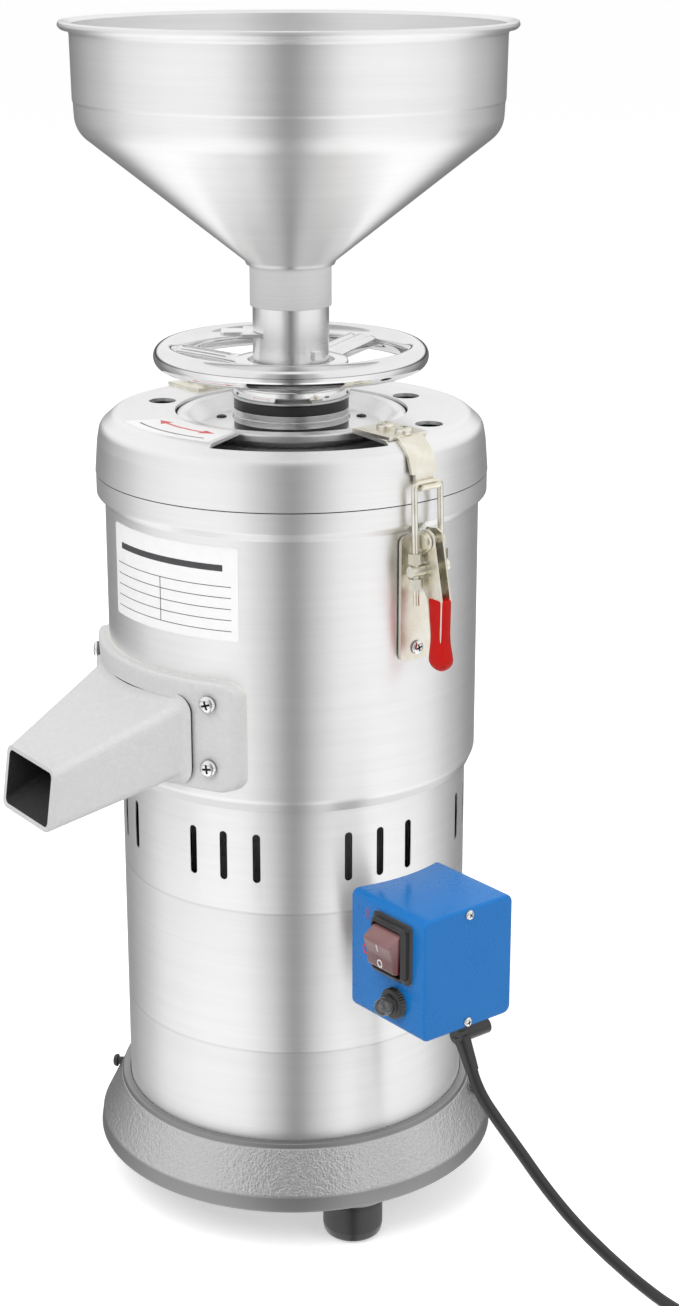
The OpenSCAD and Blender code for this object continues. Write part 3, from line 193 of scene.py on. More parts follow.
class Signal:
    """A socket that stands for its value: an operator on it adds the Math node that works it out."""

    def __init__(self, recipe, socket):
        self.recipe = recipe
        self.socket = socket

    def output(self, name):
        """Another output of the same node."""
        return Signal(self.recipe, self.socket.node.outputs[name])

    def math(self, operation, first, second=None):
        return self.recipe.node("ShaderNodeMath", {"operation": operation}, {0: first, 1: second})

    def __add__(self, other):
        return self.math("ADD", self, other)

    def __radd__(self, other):
        return self.math("ADD", other, self)

    def __sub__(self, other):
        return self.math("SUBTRACT", self, other)

    def __rsub__(self, other):
        return self.math("SUBTRACT", other, self)

    def __mul__(self, other):
        return self.math("MULTIPLY", self, other)

    def __rmul__(self, other):
        return self.math("MULTIPLY", other, self)

    def __truediv__(self, other):
        return self.math("DIVIDE", self, other)

    def __pow__(self, other):
        return self.math("POWER", self, other)

    def __lt__(self, other):
        return self.math("LESS_THAN", self, other)

    def size(self):
        """The value without its sign."""
        return self.math("ABSOLUTE", self)

    def step(self, low, high):
        """0 below low, 1 above high, smooth between."""
        return self.recipe.node("ShaderNodeMapRange", {"interpolation_type": "SMOOTHSTEP"},
                                {"Value": self, "From Min": low, "From Max": high})


class Recipe:
    """A node tree that is written as expressions."""

    def __init__(self, tree):
        self.tree = tree
        tree.nodes.clear()

    def node(self, kind, settings=None, sockets=None, out=0):
        """A node of a kind: its settings, then the values or links of its sockets."""
        made = self.tree.nodes.new(kind)
        for name, value in (settings or {}).items():
            if name == "stops":
                self.set_stops(made.color_ramp, value)
            else:
                setattr(made, name, value)
        for name, value in (sockets or {}).items():
            if isinstance(value, Signal):
                self.tree.links.new(value.socket, made.inputs[name])
            elif value is not None:
                made.inputs[name].default_value = value
        return Signal(self, made.outputs[out]) if made.outputs else None

    @staticmethod
    def set_stops(color_ramp, stops):
        """Puts (position, grey or colour) stops on a ramp."""
        color_ramp.interpolation = "EASE"
        while len(color_ramp.elements) < len(stops):
            color_ramp.elements.new(0.5)
        for element, (position, value) in zip(color_ramp.elements, stops):
            element.position = position
            element.color = (*value, 1) if isinstance(value, tuple) else (value, value, value, 1)

    def place(self):
        """The point on the piece, in metres in the machine's frame."""
        return self.node("ShaderNodeTexCoord", out="Object")

    def axes(self, vector):
        """The x, y and z of a vector."""
        split = self.node("ShaderNodeSeparateXYZ", sockets={"Vector": vector})
        return split, split.output("Y"), split.output("Z")

    def vector(self, x, y, z):
        return self.node("ShaderNodeCombineXYZ", sockets={"X": x, "Y": y, "Z": z})

    def noise(self, vector, scale, detail=2.0, roughness=0.5):
        return self.node("ShaderNodeTexNoise", sockets={
            "Vector": vector, "Scale": scale, "Detail": detail, "Roughness": roughness})

    def ramp(self, value, stops):
        return self.node("ShaderNodeValToRGB", {"stops": stops}, {"Fac": value})

    def mix(self, factor, first, second):
        """A colour between two colours."""
        return self.node("ShaderNodeMix", {"data_type": "RGBA"}, {0: factor, 6: first, 7: second}, out=2)

    def bump(self, height, strength, distance, normal=None):
        return self.node("ShaderNodeBump", sockets={
            "Height": height, "Strength": strength, "Distance": distance, "Normal": normal})

    def finish(self, **sockets):
        """The surface: a Principled shader with its sockets, named with _ for a space."""
        named = {name.replace("_", " "): value for name, value in sockets.items()}
        shader = self.node("ShaderNodeBsdfPrincipled", sockets=named)
        self.node("ShaderNodeOutputMaterial", sockets={"Surface": shader})


def recipe_for(name):
    """A new material and the recipe that fills it."""
    material = bpy.data.materials.new(name)
    material.use_nodes = True
    return material, Recipe(material.node_tree)


def grey(value):
    return (value, value, value, 1)


# ---------- finishes ----------

def turned_lines(recipe, fineness):
    """Fine lines round the axis: noise of the radius and height, stretched along the turn."""
    x, y, z = recipe.axes(recipe.place())
    radius = (x * x + y * y) ** 0.5
    return recipe.noise(recipe.vector(radius * fineness, z * fineness, x * 9), 1.0, 3.0, 0.65)


def brushed_sheet(name, colour=0.93, roughness=0.36, anisotropic=0.88, lines=(), skin=0.0):
    """Satin stainless sheet, ground round the axis, with faint long smears. A line is a level
    dark band: its height, half its width (millimetres) and how dark it is; on the tube the bands
    are seams, on the shell they are painted shade. Inside the skin's radius the sheet is painted
    near-black, as painted shade on the sheet's inner face."""
    material, recipe = recipe_for(name)
    x, y, _ = recipe.axes(recipe.place())
    # painted shade: the sheet inside the skin's radius is near-black, and the level lines add dark seams and
    # bands of painted shade
    seam_and_shade = (x * x + y * y) ** 0.5 < skin * MM
    for height, half, dark in lines:
        off = (recipe.axes(recipe.place())[2] - height * MM).size()
        seam_and_shade = seam_and_shade + dark * (1 - off.step(half * 0.4 * MM, half * MM))
    fine = turned_lines(recipe, 1500)
    broad = turned_lines(recipe, 170)
    smear = recipe.noise(recipe.place(), 14.0, 3.0, 0.6)
    shade = fine * 0.05 + broad * 0.05 + smear * 0.02
    sheet = recipe.mix(shade.step(0.03, 0.09), grey(colour - 0.04), grey(colour + 0.03))
    recipe.finish(
        Base_Color=recipe.mix(seam_and_shade.step(0.0, 1.0), sheet, grey(0.02)),
        Metallic=1.0, Roughness=roughness + fine * 0.06 + smear * 0.03,
        Anisotropic=anisotropic, Anisotropic_Rotation=0.25,
        Normal=recipe.bump(fine, 0.12, 0.00004))
    return material


def satin_collar():
    """The matt, evenly grey finish of the hopper's collar."""
    material, recipe = recipe_for("satin_collar")
    fine = turned_lines(recipe, 900)
    recipe.finish(Base_Color=recipe.mix(fine, grey(0.72), grey(0.80)), Metallic=0.35,
                  Roughness=0.60 + fine * 0.08, Normal=recipe.bump(fine, 0.1, 0.00005))
    return material


def polished_chrome():
    """Bright plating with a slight unevenness and a few dull smears."""
    material, recipe = recipe_for("polished_chrome")
    place = recipe.place()
    wave = recipe.noise(place, 60.0, 2.0)
    smear = recipe.noise(place, 25.0, 4.0, 0.7)
    recipe.finish(Base_Color=recipe.mix(smear, grey(0.74), grey(0.88)), Metallic=1.0,
                  Roughness=0.05 + smear.step(0.45, 0.8) * 0.09,
                  Normal=recipe.bump(wave, 0.08, 0.0002))
    return material


def zinc_plate():
    """Yellowish zinc on pressed steel: cloudy, with fine rolling lines and duller patches."""
    material, recipe = recipe_for("zinc_plate")
    place = recipe.place()
    cloud = recipe.noise(place, 110.0, 4.0, 0.6)
    grain = recipe.noise(place, 1400.0, 2.0)
    colour = recipe.mix(cloud.step(0.35, 0.7), (0.80, 0.76, 0.64, 1), (0.90, 0.88, 0.80, 1))
    recipe.finish(Base_Color=colour, Metallic=0.92, Roughness=0.22 + cloud * 0.16,
                  Normal=recipe.bump(grain + cloud, 0.10, 0.0001))
    return material


def bright_screw():
    """Nickel-plated screw heads, with painted shade in the cross and at the foot, as their recess attribute
    says.
    """
    material, recipe = recipe_for("bright_screw")
    cloud = recipe.noise(recipe.place(), 700.0, 3.0)
    recess = recipe.node("ShaderNodeAttribute", {"attribute_name": "recess"}, out="Fac")
    plating = recipe.mix(cloud, grey(0.74), grey(0.90))
    # painted shade: the recess attribute turns the cross and the foot of the head near-black
    recipe.finish(Base_Color=recipe.mix(recess, plating, grey(0.02)), Metallic=1.0 - recess,
                  Roughness=0.14 + cloud * 0.12 + recess * 0.5, Normal=recipe.bump(cloud, 0.1, 0.00008))
    return material


def dark_screw():
    """Black oxide."""
    material, recipe = recipe_for("dark_screw")
    cloud = recipe.noise(recipe.place(), 900.0, 3.0)
    recipe.finish(Base_Color=recipe.mix(cloud, grey(0.03), grey(0.10)), Metallic=0.7,
                  Roughness=0.35 + cloud * 0.15, Normal=recipe.bump(cloud, 0.15, 0.0001))
    return material


def base_paint():
    """Silver paint on the base: hammered on the slope, smooth on the lip and the lower band."""
    material, recipe = recipe_for("base_paint")
    place = recipe.place()
    _, _, z = recipe.axes(place)
    low_edge = (BASE_Z + BASE_BAND) * MM
    top_edge = (BASE_TOP - 2.6) * MM
    slope = z.step(low_edge - 0.0006, low_edge + 0.0012) * (1 - z.step(top_edge - 0.001, top_edge))
    cast = recipe.noise(place, 760.0, 2.0, 0.55)
    dimple = recipe.noise(place, 330.0, 2.0, 0.5)
    rough = (cast * 0.7 + dimple * 0.6) * slope + cast * 0.03
    colour = recipe.mix(slope * (0.6 + 0.4 * cast), grey(0.31), grey(0.66))
    recipe.finish(Base_Color=colour, Metallic=0.95, Roughness=0.28 + (1 - slope) * 0.14,
                  Normal=recipe.bump(rough, 0.75, 0.0009))
    return material


def cast_aluminium(name, tone, grain_depth):
    """Sand-cast metal: a dull pale grey with open grain, and near-black painted shade where its bore
    attribute says.
    """
    material, recipe = recipe_for(name)
    place = recipe.place()
    grain = recipe.noise(place, 900.0, 3.0, 0.7)
    pits = recipe.noise(place, 260.0, 3.0, 0.6)
    bore = recipe.node("ShaderNodeAttribute", {"attribute_name": "bore"}, out="Fac")
    outside = recipe.mix(grain * 0.6 + pits * 0.4, grey(tone - 0.10), grey(tone + 0.08))
    # painted shade: where the bore attribute is 1 the casting is painted near-black
    colour = recipe.mix(bore, outside, recipe.mix(grain, grey(0.02), grey(0.10)))
    recipe.finish(Base_Color=colour, Metallic=0.35, Roughness=0.58 + grain * 0.12,
                  Specular_IOR_Level=0.4, Normal=recipe.bump(grain + pits, 0.5, grain_depth))
    return material


def moulded(name, low, high, roughness, grain=0.00006, coat=0.0, specular=0.5):
    """Moulded plastic or rubber: a near-even colour with a fine orange-peel skin."""
    material, recipe = recipe_for(name)
    place = recipe.place()
    skin = recipe.noise(place, 420.0, 2.0)
    cloud = recipe.noise(place, 35.0, 3.0)
    recipe.finish(Base_Color=recipe.mix(cloud, (*low, 1), (*high, 1)),
                  Roughness=roughness + skin * 0.04 + cloud * 0.04, Coat_Weight=coat,
                  Coat_Roughness=0.08, Specular_IOR_Level=specular,
                  Normal=recipe.bump(skin, 0.07, grain))
    return material


def plain_metal(name, low, high, roughness, metallic=1.0, scale=300.0):
    """Machined or rolled metal inside the machine, lightly mottled."""
    material, recipe = recipe_for(name)
    cloud = recipe.noise(recipe.place(), scale, 3.0)
    recipe.finish(Base_Color=recipe.mix(cloud, (*low, 1), (*high, 1)), Metallic=metallic,
                  Roughness=roughness + cloud * 0.12, Normal=recipe.bump(cloud, 0.15, 0.0001))
    return material


def laminations():
    """Stacked steel sheets, seen as level lines half a millimetre apart."""
    material, recipe = recipe_for("laminations")
    depth = recipe.axes(recipe.place())[2] * 2000
    line = depth.math("FRACT", depth).step(0.35, 0.6)
    recipe.finish(Base_Color=recipe.mix(line, grey(0.03), grey(0.09)), Metallic=0.9,
                  Roughness=0.5 - line * 0.1, Normal=recipe.bump(line, 0.3, 0.0001))
    return material


def wound_copper():
    """Varnished copper wire, wound round the slots."""
    material, recipe = recipe_for("wound_copper")
    x, y, z = recipe.axes(recipe.place())
    winding = ((x * x + y * y) ** 0.5 + z) * 5200
    strand = winding.math("SINE", winding)
    recipe.finish(Base_Color=recipe.mix(strand * 0.5 + 0.5, (0.25, 0.08, 0.03, 1), (0.75, 0.34, 0.15, 1)),
                  Metallic=0.8, Roughness=0.3 + strand * 0.05, Normal=recipe.bump(strand, 0.5, 0.0002))
    return material


def clear_dome():
    """The clear cap over the reset button."""
    material, recipe = recipe_for("clear_dome")
    cloud = recipe.noise(recipe.place(), 500.0, 2.0)
    recipe.finish(Base_Color=recipe.mix(cloud, grey(0.80), grey(0.92)), Roughness=0.03 + cloud * 0.04,
                  IOR=1.40, Transmission_Weight=0.94)
    return material


def rocker_skin():
    """The rocker: dark red low down, and paler and greyer towards the top, a painted sheen that stands in
    for a clear boot over it.
    """
    material, recipe = recipe_for("rocker_skin")
    place = recipe.place()
    _, _, z = recipe.axes(place)
    cloud = recipe.noise(place, 90.0, 2.0)
    # painted sheen: the colour turns pale and grey with height
    height = (z + cloud * 0.004).step((SWITCH_Z - 6) * MM, (SWITCH_Z + 15) * MM)
    recipe.finish(Base_Color=recipe.mix(height, (0.10, 0.006, 0.009, 1), (0.25, 0.12, 0.12, 1)),
                  Roughness=0.14 + cloud * 0.08, Coat_Weight=0.7, Coat_Roughness=0.06,
                  Normal=recipe.bump(cloud, 0.1, 0.0002))
    return material


def printed_sheet(name, low, high):
    """Glossy printed film."""
    material, recipe = recipe_for(name)
    cloud = recipe.noise(recipe.place(), 160.0, 2.0)
    recipe.finish(Base_Color=recipe.mix(cloud, (*low, 1), (*high, 1)), Roughness=0.30 + cloud * 0.08)
    return material


def plug_skin():
    """Black rubber on the plug's body and brass on its pins, split where the pins begin."""
    material, recipe = recipe_for("plug_skin")
    place = recipe.place()
    _, y, _ = recipe.axes(place)
    pins = 1 - y.step((span("plug")[0][1] + 18.5) * MM, (span("plug")[0][1] + 19.5) * MM)
    skin = recipe.noise(place, 500.0, 2.0)
    recipe.finish(Base_Color=recipe.mix(pins, grey(0.022), (0.75, 0.62, 0.34, 1)), Metallic=pins,
                  Roughness=0.42 - pins * 0.15 + skin * 0.05, Normal=recipe.bump(skin, 0.15, 0.00006))
    return material


STEEL = brushed_sheet("stainless_sheet")
# tube sheet: dark seam joints, and painted shade that makes its inner face near-black
TUBE_SHEET = brushed_sheet("tube_sheet", lines=[(z, 1.3, 0.2) for z in SEAM_Z], skin=TUBE_R - 0.5)
# shell sheet: painted shade as a near-black line in the gap under the lid, and a darker band on the rolled
# lower edge
SHELL_SHEET = brushed_sheet("shell_sheet", lines=[(LID_Z - 0.35, 0.45, 0.95), (SHELL_Z + 3.0, 5.5, 0.30)])
LID_STEEL = brushed_sheet("lid_sheet", 0.93, 0.34, 0.80)
TUBE_STEEL = brushed_sheet("feed_tube_steel", 0.92, 0.24, 0.70)
COLLAR = satin_collar()
CHROME = polished_chrome()
ZINC = zinc_plate()
BRIGHT_SCREW = bright_screw()
DARK_SCREW = dark_screw()
BASE_PAINT = base_paint()
SPOUT_CAST = cast_aluminium("spout_casting", 0.70, 0.0006)
INNER_CAST = cast_aluminium("inner_casting", 0.40, 0.0004)
RUBBER = moulded("black_rubber", (0.012, 0.012, 0.012), (0.024, 0.024, 0.025), 0.32, coat=0.25)
GASKET = moulded("pale_gasket", (0.62, 0.61, 0.58), (0.72, 0.71, 0.68), 0.6)
CORD_RUBBER = moulded("cord_rubber", (0.014, 0.014, 0.014), (0.026, 0.026, 0.026), 0.34)
BOX_BLUE = moulded("blue_plastic", (0.006, 0.160, 0.50), (0.010, 0.185, 0.55), 0.24, specular=0.28)
BLACK_PLASTIC = moulded("black_plastic", (0.010, 0.010, 0.010), (0.022, 0.022, 0.023), 0.28, coat=0.2)
ROCKER_RED = rocker_skin()
GRIP_RED = moulded("grip_vinyl", (0.44, 0.004, 0.003), (0.54, 0.008, 0.005), 0.40, 0.00010, specular=0.2)
MARK_WHITE = moulded("mark_white", (0.70, 0.68, 0.66), (0.80, 0.78, 0.76), 0.4)
MARK_RED = moulded("mark_red", (0.62, 0.02, 0.03), (0.72, 0.03, 0.04), 0.4)
CLEAR = clear_dome()
LABEL_WHITE = printed_sheet("label_white", (0.86, 0.86, 0.86), (0.92, 0.92, 0.92))
LABEL_INK = printed_sheet("label_ink", (0.03, 0.03, 0.035), (0.06, 0.06, 0.065))
LABEL_RED = printed_sheet("label_red", (0.60, 0.03, 0.03), (0.70, 0.06, 0.05))
PLUG_SKIN = plug_skin()
MACHINED = plain_metal("machined_steel", (0.48, 0.48, 0.49), (0.66, 0.66, 0.67), 0.28)
GROUND_IRON = plain_metal("ground_iron", (0.20, 0.20, 0.21), (0.34, 0.34, 0.35), 0.45)
DARK_SHEET = plain_metal("dark_sheet", (0.05, 0.05, 0.055), (0.10, 0.10, 0.105), 0.5, 0.4)
FAN_PLASTIC = plain_metal("fan_plastic", (0.03, 0.03, 0.032), (0.06, 0.06, 0.062), 0.5, 0.0)


# ---------- shapes ----------

def to_world(points, az):
    """Points (sideways, outwards, up) at a direction az, as points of the machine's frame."""
    side, out, up = np.moveaxis(np.asarray(points, float), -1, 0)
    turn = math.radians(az)
    return np.stack([side * math.cos(turn) + out * math.sin(turn),
                     side * math.sin(turn) - out * math.cos(turn), up], -1)


def grid_faces(rows, columns, close_rows=False, close_columns=True):
    """The four-sided faces of a grid of rows by columns points, wrapped where it closes."""
    row = np.arange(rows if close_rows else rows - 1)[:, None]
    column = np.arange(columns if close_columns else columns - 1)[None, :]
    next_row = (row + 1) % rows
    next_column = (column + 1) % columns
    corners = [row * columns + column, row * columns + next_column,
               next_row * columns + next_column, next_row * columns + column]
    return np.stack(np.broadcast_arrays(*corners), -1).reshape(-1, 4)


def rounded_line(corners, radii, steps=6, closed=False):
    """A line through corners with an arc at each: the arc touches both sides, its centre lies
    on the corner's bisector, and its radius shrinks where a side is too short for it."""
    corners = np.asarray(corners, float)
    count = len(corners)
    radii = np.broadcast_to(radii, count)
    parts = []
    for k in range(count):
        here = corners[k]
        is_end = not closed and k in (0, count - 1)
        back = corners[k - 1] - here
        ahead = corners[(k + 1) % count] - here
        back_l, ahead_l = np.linalg.norm(back), np.linalg.norm(ahead)
        angle = math.acos(np.clip(back @ ahead / (back_l * ahead_l), -1, 1))
        if is_end or radii[k] == 0 or angle > math.pi - 0.01:
            parts.append(here[None])
            continue
        back, ahead = back / back_l, ahead / ahead_l
        reach = min(radii[k] / math.tan(angle / 2), 0.49 * back_l, 0.49 * ahead_l)
        radius = reach * math.tan(angle / 2)
        bisector = (back + ahead) / np.linalg.norm(back + ahead)
        centre = here + bisector * radius / math.sin(angle / 2)
        start, end = here + back * reach - centre, here + ahead * reach - centre
        turn = math.pi - angle
        t = np.linspace(0, 1, steps + 1)[:, None]
        parts.append(centre + (np.sin((1 - t) * turn) * start + np.sin(t * turn) * end) / math.sin(turn))
    return np.concatenate(parts)


def lathe(profile, segments=256):
    """An outline (radius, height) turned round the Z axis: point = (r sin a, -r cos a, z). It is
    closed, unless it starts and ends on the axis."""
    profile = np.asarray(profile, float)
    a = ring_angles(segments)
    r, z = profile[:, :1], profile[:, 1:2]
    points = np.stack(np.broadcast_arrays(r * np.sin(a), -r * np.cos(a), z), -1)
    off_axis = profile[0, 0] + profile[-1, 0] > 0
    return points.reshape(-1, 3), grid_faces(len(profile), segments, close_rows=off_axis)


def post(bore, radius, z_from, z_to, rho, az, segments=48):
    """A round post, or a ring where it has a bore, standing at (rho, az) round the axis."""
    points, faces = lathe([(bore, z_from), (radius, z_from), (radius, z_to), (bore, z_to)], segments)
    return points + to_world((0, rho, 0), az), faces


def capped(rows, count):
    """The faces of a tube of rows by count points, with both its ends filled."""
    end = rows * count
    return grid_faces(rows, count).tolist() + [list(range(count))[::-1], list(range(end - count, end))]


def pushed(outline, levels, axis=2):
    """A flat outline carried from one level to another along an axis: its points and faces."""
    points = np.concatenate([np.insert(outline, axis, level, axis=1) for level in levels])
    return points, capped(2, len(outline))


def upright(outline, out):
    """A flat outline (sideways, up) standing at a distance outwards."""
    return np.stack([outline[:, 0], np.broadcast_to(out, len(outline)), outline[:, 1]], -1)


def ring_angles(count):
    """Angles once round, as a row."""
    return np.linspace(0, 2 * math.pi, count, endpoint=False)[None, :]


def frame_outline(width, height, corner, steps=8, edge=6):
    """A rectangle with round corners as points and outward normals (n, 2), anticlockwise:
    each corner is a quarter circle, and each side is divided evenly."""
    a = np.linspace(0, math.pi / 2, steps + 1)
    points, normals = [], []
    for k, (sx, sy) in enumerate(((1, 1), (-1, 1), (-1, -1), (1, -1))):
        turn = a + k * math.pi / 2
        normal = np.stack([np.cos(turn), np.sin(turn)], -1)
        arc = np.array([sx * (width / 2 - corner), sy * (height / 2 - corner)]) + corner * normal
        points.append(arc)
        normals.append(normal)
        heading = np.array([[-1, 0], [0, -1], [1, 0], [0, 1]][k])
        along = heading * (width - 2 * corner, height - 2 * corner)
        t = np.linspace(0, 1, edge + 2)[1:-1, None]
        points.append(arc[-1] + t * along)
        normals.append(np.repeat(normal[-1:], edge, 0))
    return np.concatenate(points), np.concatenate(normals)


def shaded(mesh, sharp_angle):
    """Smooth shading, with an edge kept sharp where its faces turn by more than the angle."""
    mesh.shade_smooth()
    mesh.set_sharp_from_angle(angle=math.radians(sharp_angle))


def new_piece(name, points, faces, material, sharp_angle=32, flat_angle=0.0):
    """An object from points in millimetres. Doubles are merged, a closed shape that is inside
    out is turned, and flat neighbours are joined where a flat angle in degrees is given."""
    mesh = bpy.data.meshes.new(name)
    faces = faces.tolist() if isinstance(faces, np.ndarray) else faces
    mesh.from_pydata((np.asarray(points, float) * MM).tolist(), [], faces)
    work = bmesh.new()
    work.from_mesh(mesh)
    bmesh.ops.remove_doubles(work, verts=work.verts, dist=1e-6)
    if flat_angle:
        bmesh.ops.dissolve_limit(work, angle_limit=math.radians(flat_angle), verts=work.verts,
                                 edges=work.edges, delimit=set())
    if work.calc_volume(signed=True) < 0:
        bmesh.ops.reverse_faces(work, faces=work.faces)
    work.to_mesh(mesh)
    work.free()
    shaded(mesh, sharp_angle)
    mesh.materials.append(material)
    piece = bpy.data.objects.new(name, mesh)
    bpy.context.scene.collection.objects.link(piece)
    return piece


def baked(piece):
    """The piece's mesh with its modifiers worked in."""
    bpy.context.view_layer.update()
    done = piece.evaluated_get(bpy.context.evaluated_depsgraph_get())
    return bpy.data.meshes.new_from_object(done)


def cut(piece, *cutters, sharp_angle=32):
    """Takes the cutters away from the piece."""
    for cutter in cutters:
        step = piece.modifiers.new("cut", "BOOLEAN")
        step.operation = "DIFFERENCE"
        step.solver = "EXACT"
        step.object = cutter
    mesh = baked(piece)
    piece.modifiers.clear()
    piece.data = mesh
    shaded(mesh, sharp_angle)
    for cutter in cutters:
        bpy.data.objects.remove(cutter)
    return piece


def stands_for(piece, body, *nodes):
    """The piece rides on a body and stands for CAD nodes."""
    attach(piece, body)
    if nodes:
        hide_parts(*nodes)
    return piece


BODY_OF = {node: body for body, nodes in frame["record"]["behaviour"]["bodies"].items() for node in nodes}


def dressed(node, material, bevel=0.35, sharp_angle=30):
    """A node's own shape with its edges broken: its triangles are merged into flat faces, and
    the sharp edges get a small rounded bevel."""
    source = frame["nodes"][node].data
    points = np.empty(len(source.vertices) * 3)
    source.vertices.foreach_get("co", points)
    faces = [tuple(face.vertices) for face in source.polygons]
    piece = new_piece("dressed_" + node, points.reshape(-1, 3) / MM, faces, material, sharp_angle, 0.4)
    if bevel:
        edge = piece.modifiers.new("broken_edges", "BEVEL")
        edge.width = bevel * MM
        edge.segments = 2
        edge.limit_method = "ANGLE"
        edge.angle_limit = math.radians(sharp_angle)
        edge.harden_normals = True
    return stands_for(piece, BODY_OF[node], node)


def paint(nodes, material):
    """Gives CAD nodes that stay as they are their finish."""
    for node in nodes:
        for place in frame["nodes"][node].material_slots:
            place.link = "OBJECT"
            place.material = material


def merged(parts):
    """Several (points, faces) as one."""
    points, faces, start = [], [], 0
    for some_points, some_faces in parts:
        points.append(some_points)
        rows = some_faces.tolist() if isinstance(some_faces, np.ndarray) else some_faces
        faces += [[start + k for k in face] for face in rows]
        start += len(some_points)
    return np.concatenate(points), faces


# ---------- base and feet ----------

def make_base():
    """The base casting, turned from its wall's outline, with its posts and foot bosses."""
    outline = rounded_line([
        (BASE_R - 7, BASE_Z), (BASE_R, BASE_Z), (BASE_R - 1.3, BASE_Z + BASE_BAND),
        (TUBE_R + 5.6, BASE_TOP - 2.4), (TUBE_R + 5.0, BASE_TOP), (TUBE_R + 0.2, BASE_TOP),
        (TUBE_R + 0.2, TUBE_Z), (BASE_HOLE_R, TUBE_Z), (BASE_HOLE_R, TUBE_Z - 6),
        (BASE_R - 13, TUBE_Z - 6), (BASE_R - 8, BASE_Z + BASE_BAND)],
        [0.6, 1.6, 1.6, 1.2, 1.0, 0.8, 0, 0.5, 0.5, 3, 3], 5, closed=True)
    parts = [lathe(outline, 288)]
    parts += [post(0, POST_R, TUBE_Z - 1, TUBE_Z + POST_H, POST_CIRCLE_R, az, 32) for az in POST_AZ]
    parts += [post(4.2, FOOT_R + 5, FOOT_H, FOOT_H + 4, FOOT_CIRCLE_R, az, 64) for az in FOOT_AZ]
    return stands_for(new_piece("base", *merged(parts), BASE_PAINT), "root", "base_casting")


def make_feet():
    """Three rubber feet with a rounded tread and shoulder, and a socket for the bolt's head."""
    outline = rounded_line([
        (FOOT_SOCKET_R, 0), (FOOT_R - 4.6, 0), (FOOT_R - 0.8, 2.2), (FOOT_R, 7), (FOOT_R, FOOT_H - 6),
        (FOOT_R - 0.5, FOOT_H - 2.4), (FOOT_R - 3.2, FOOT_H), (FOOT_BORE_R, FOOT_H), (FOOT_BORE_R, 14),
        (FOOT_SOCKET_R, 14)],
        [0.6, 2.4, 3, 4, 4, 2.2, 1.6, 0, 0, 0], 5, closed=True)
    foot, faces = lathe(outline, 96)
    parts = [(foot + to_world((0, FOOT_CIRCLE_R, 0), az), faces) for az in FOOT_AZ]
    return stands_for(new_piece("feet", *merged(parts), RUBBER), "root", "rubber_feet")


# ---------- shells ----------

def slot_cutter(az):
    """A long hole's shape, pushed through the tube's wall."""
    width, height = SLOT_SIZE
    outline, _ = frame_outline(width, height, width / 2 - 0.01, 10, 1)
    points, faces = pushed(outline + (0, SLOT_Z), (TUBE_R - 6, TUBE_R + 6), axis=1)
    return to_world(points, az), faces


def make_tube():
    """The motor tube: a thin wall with two shallow rolled seams and seven groups of slots."""
    inner = TUBE_R - SHEET_WALL
    seams = [(TUBE_R - depth, z + dz) for z in SEAM_Z
             for depth, dz in ((0, -1.4), (0.16, -0.5), (0.30, 0), (0.16, 0.5), (0, 1.4))]
    outline = [(inner, TUBE_Z), (TUBE_R, TUBE_Z), *seams, (TUBE_R, TUBE_TOP), (inner, TUBE_TOP)]
    tube = new_piece("motor_tube", *lathe(outline), TUBE_SHEET, 40)
    slots = [slot_cutter(SLOT_FIRST_AZ + 360 / SLOT_GROUPS * group + SLOT_STEP_AZ * side)
             for group in range(SLOT_GROUPS) for side in (-1, 0, 1)]
    cutter = new_piece("slots", *merged(slots), STEEL)
    return stands_for(cut(tube, cutter), "root", "motor_shell")


def make_upper_shell():
    """The upper shell: rolled in at its lower edge, and stepped out to a band under the lid."""
    outer = rounded_line([
        (TUBE_R + 0.4, SHELL_Z + 0.9), (SHELL_R - 3.2, SHELL_Z + 0.6), (SHELL_R, SHELL_Z + 8.0),
        (SHELL_R, LID_Z - 17.2), (LID_R - 0.3, LID_Z - 12.6), (LID_R - 0.3, LID_Z)],
        [0, 3.2, 7, 1.6, 1.8, 0], 8)
    inner = rounded_line([
        (LID_R - 1.7, LID_Z), (LID_R - 1.7, LID_Z - 11.6), (SHELL_R - 1.4, LID_Z - 17.4),
        (SHELL_R - 1.4, SHELL_Z + 8.4), (SHELL_R - 3.8, SHELL_Z + 2.2), (TUBE_R + 0.4, SHELL_Z + 2.2)],
        [0, 3, 5, 6, 2.4, 0], 8)
    casing = new_piece("upper_casing", *lathe(np.concatenate([outer, inner])), SHELL_SHEET, 40)
    return stands_for(casing, "root", "upper_shell")


def sector_cutter(r_in, r_out, az_from, az_to, z_from, z_to):
    """A block between two radii, two directions and two heights."""
    a = np.radians(np.linspace(az_from, az_to, 24))
    ring = [np.stack([r * np.sin(a), -r * np.cos(a)], -1) for r in (r_in, r_out)]
    return pushed(np.concatenate([ring[0], ring[1][::-1]]), (z_from, z_to))


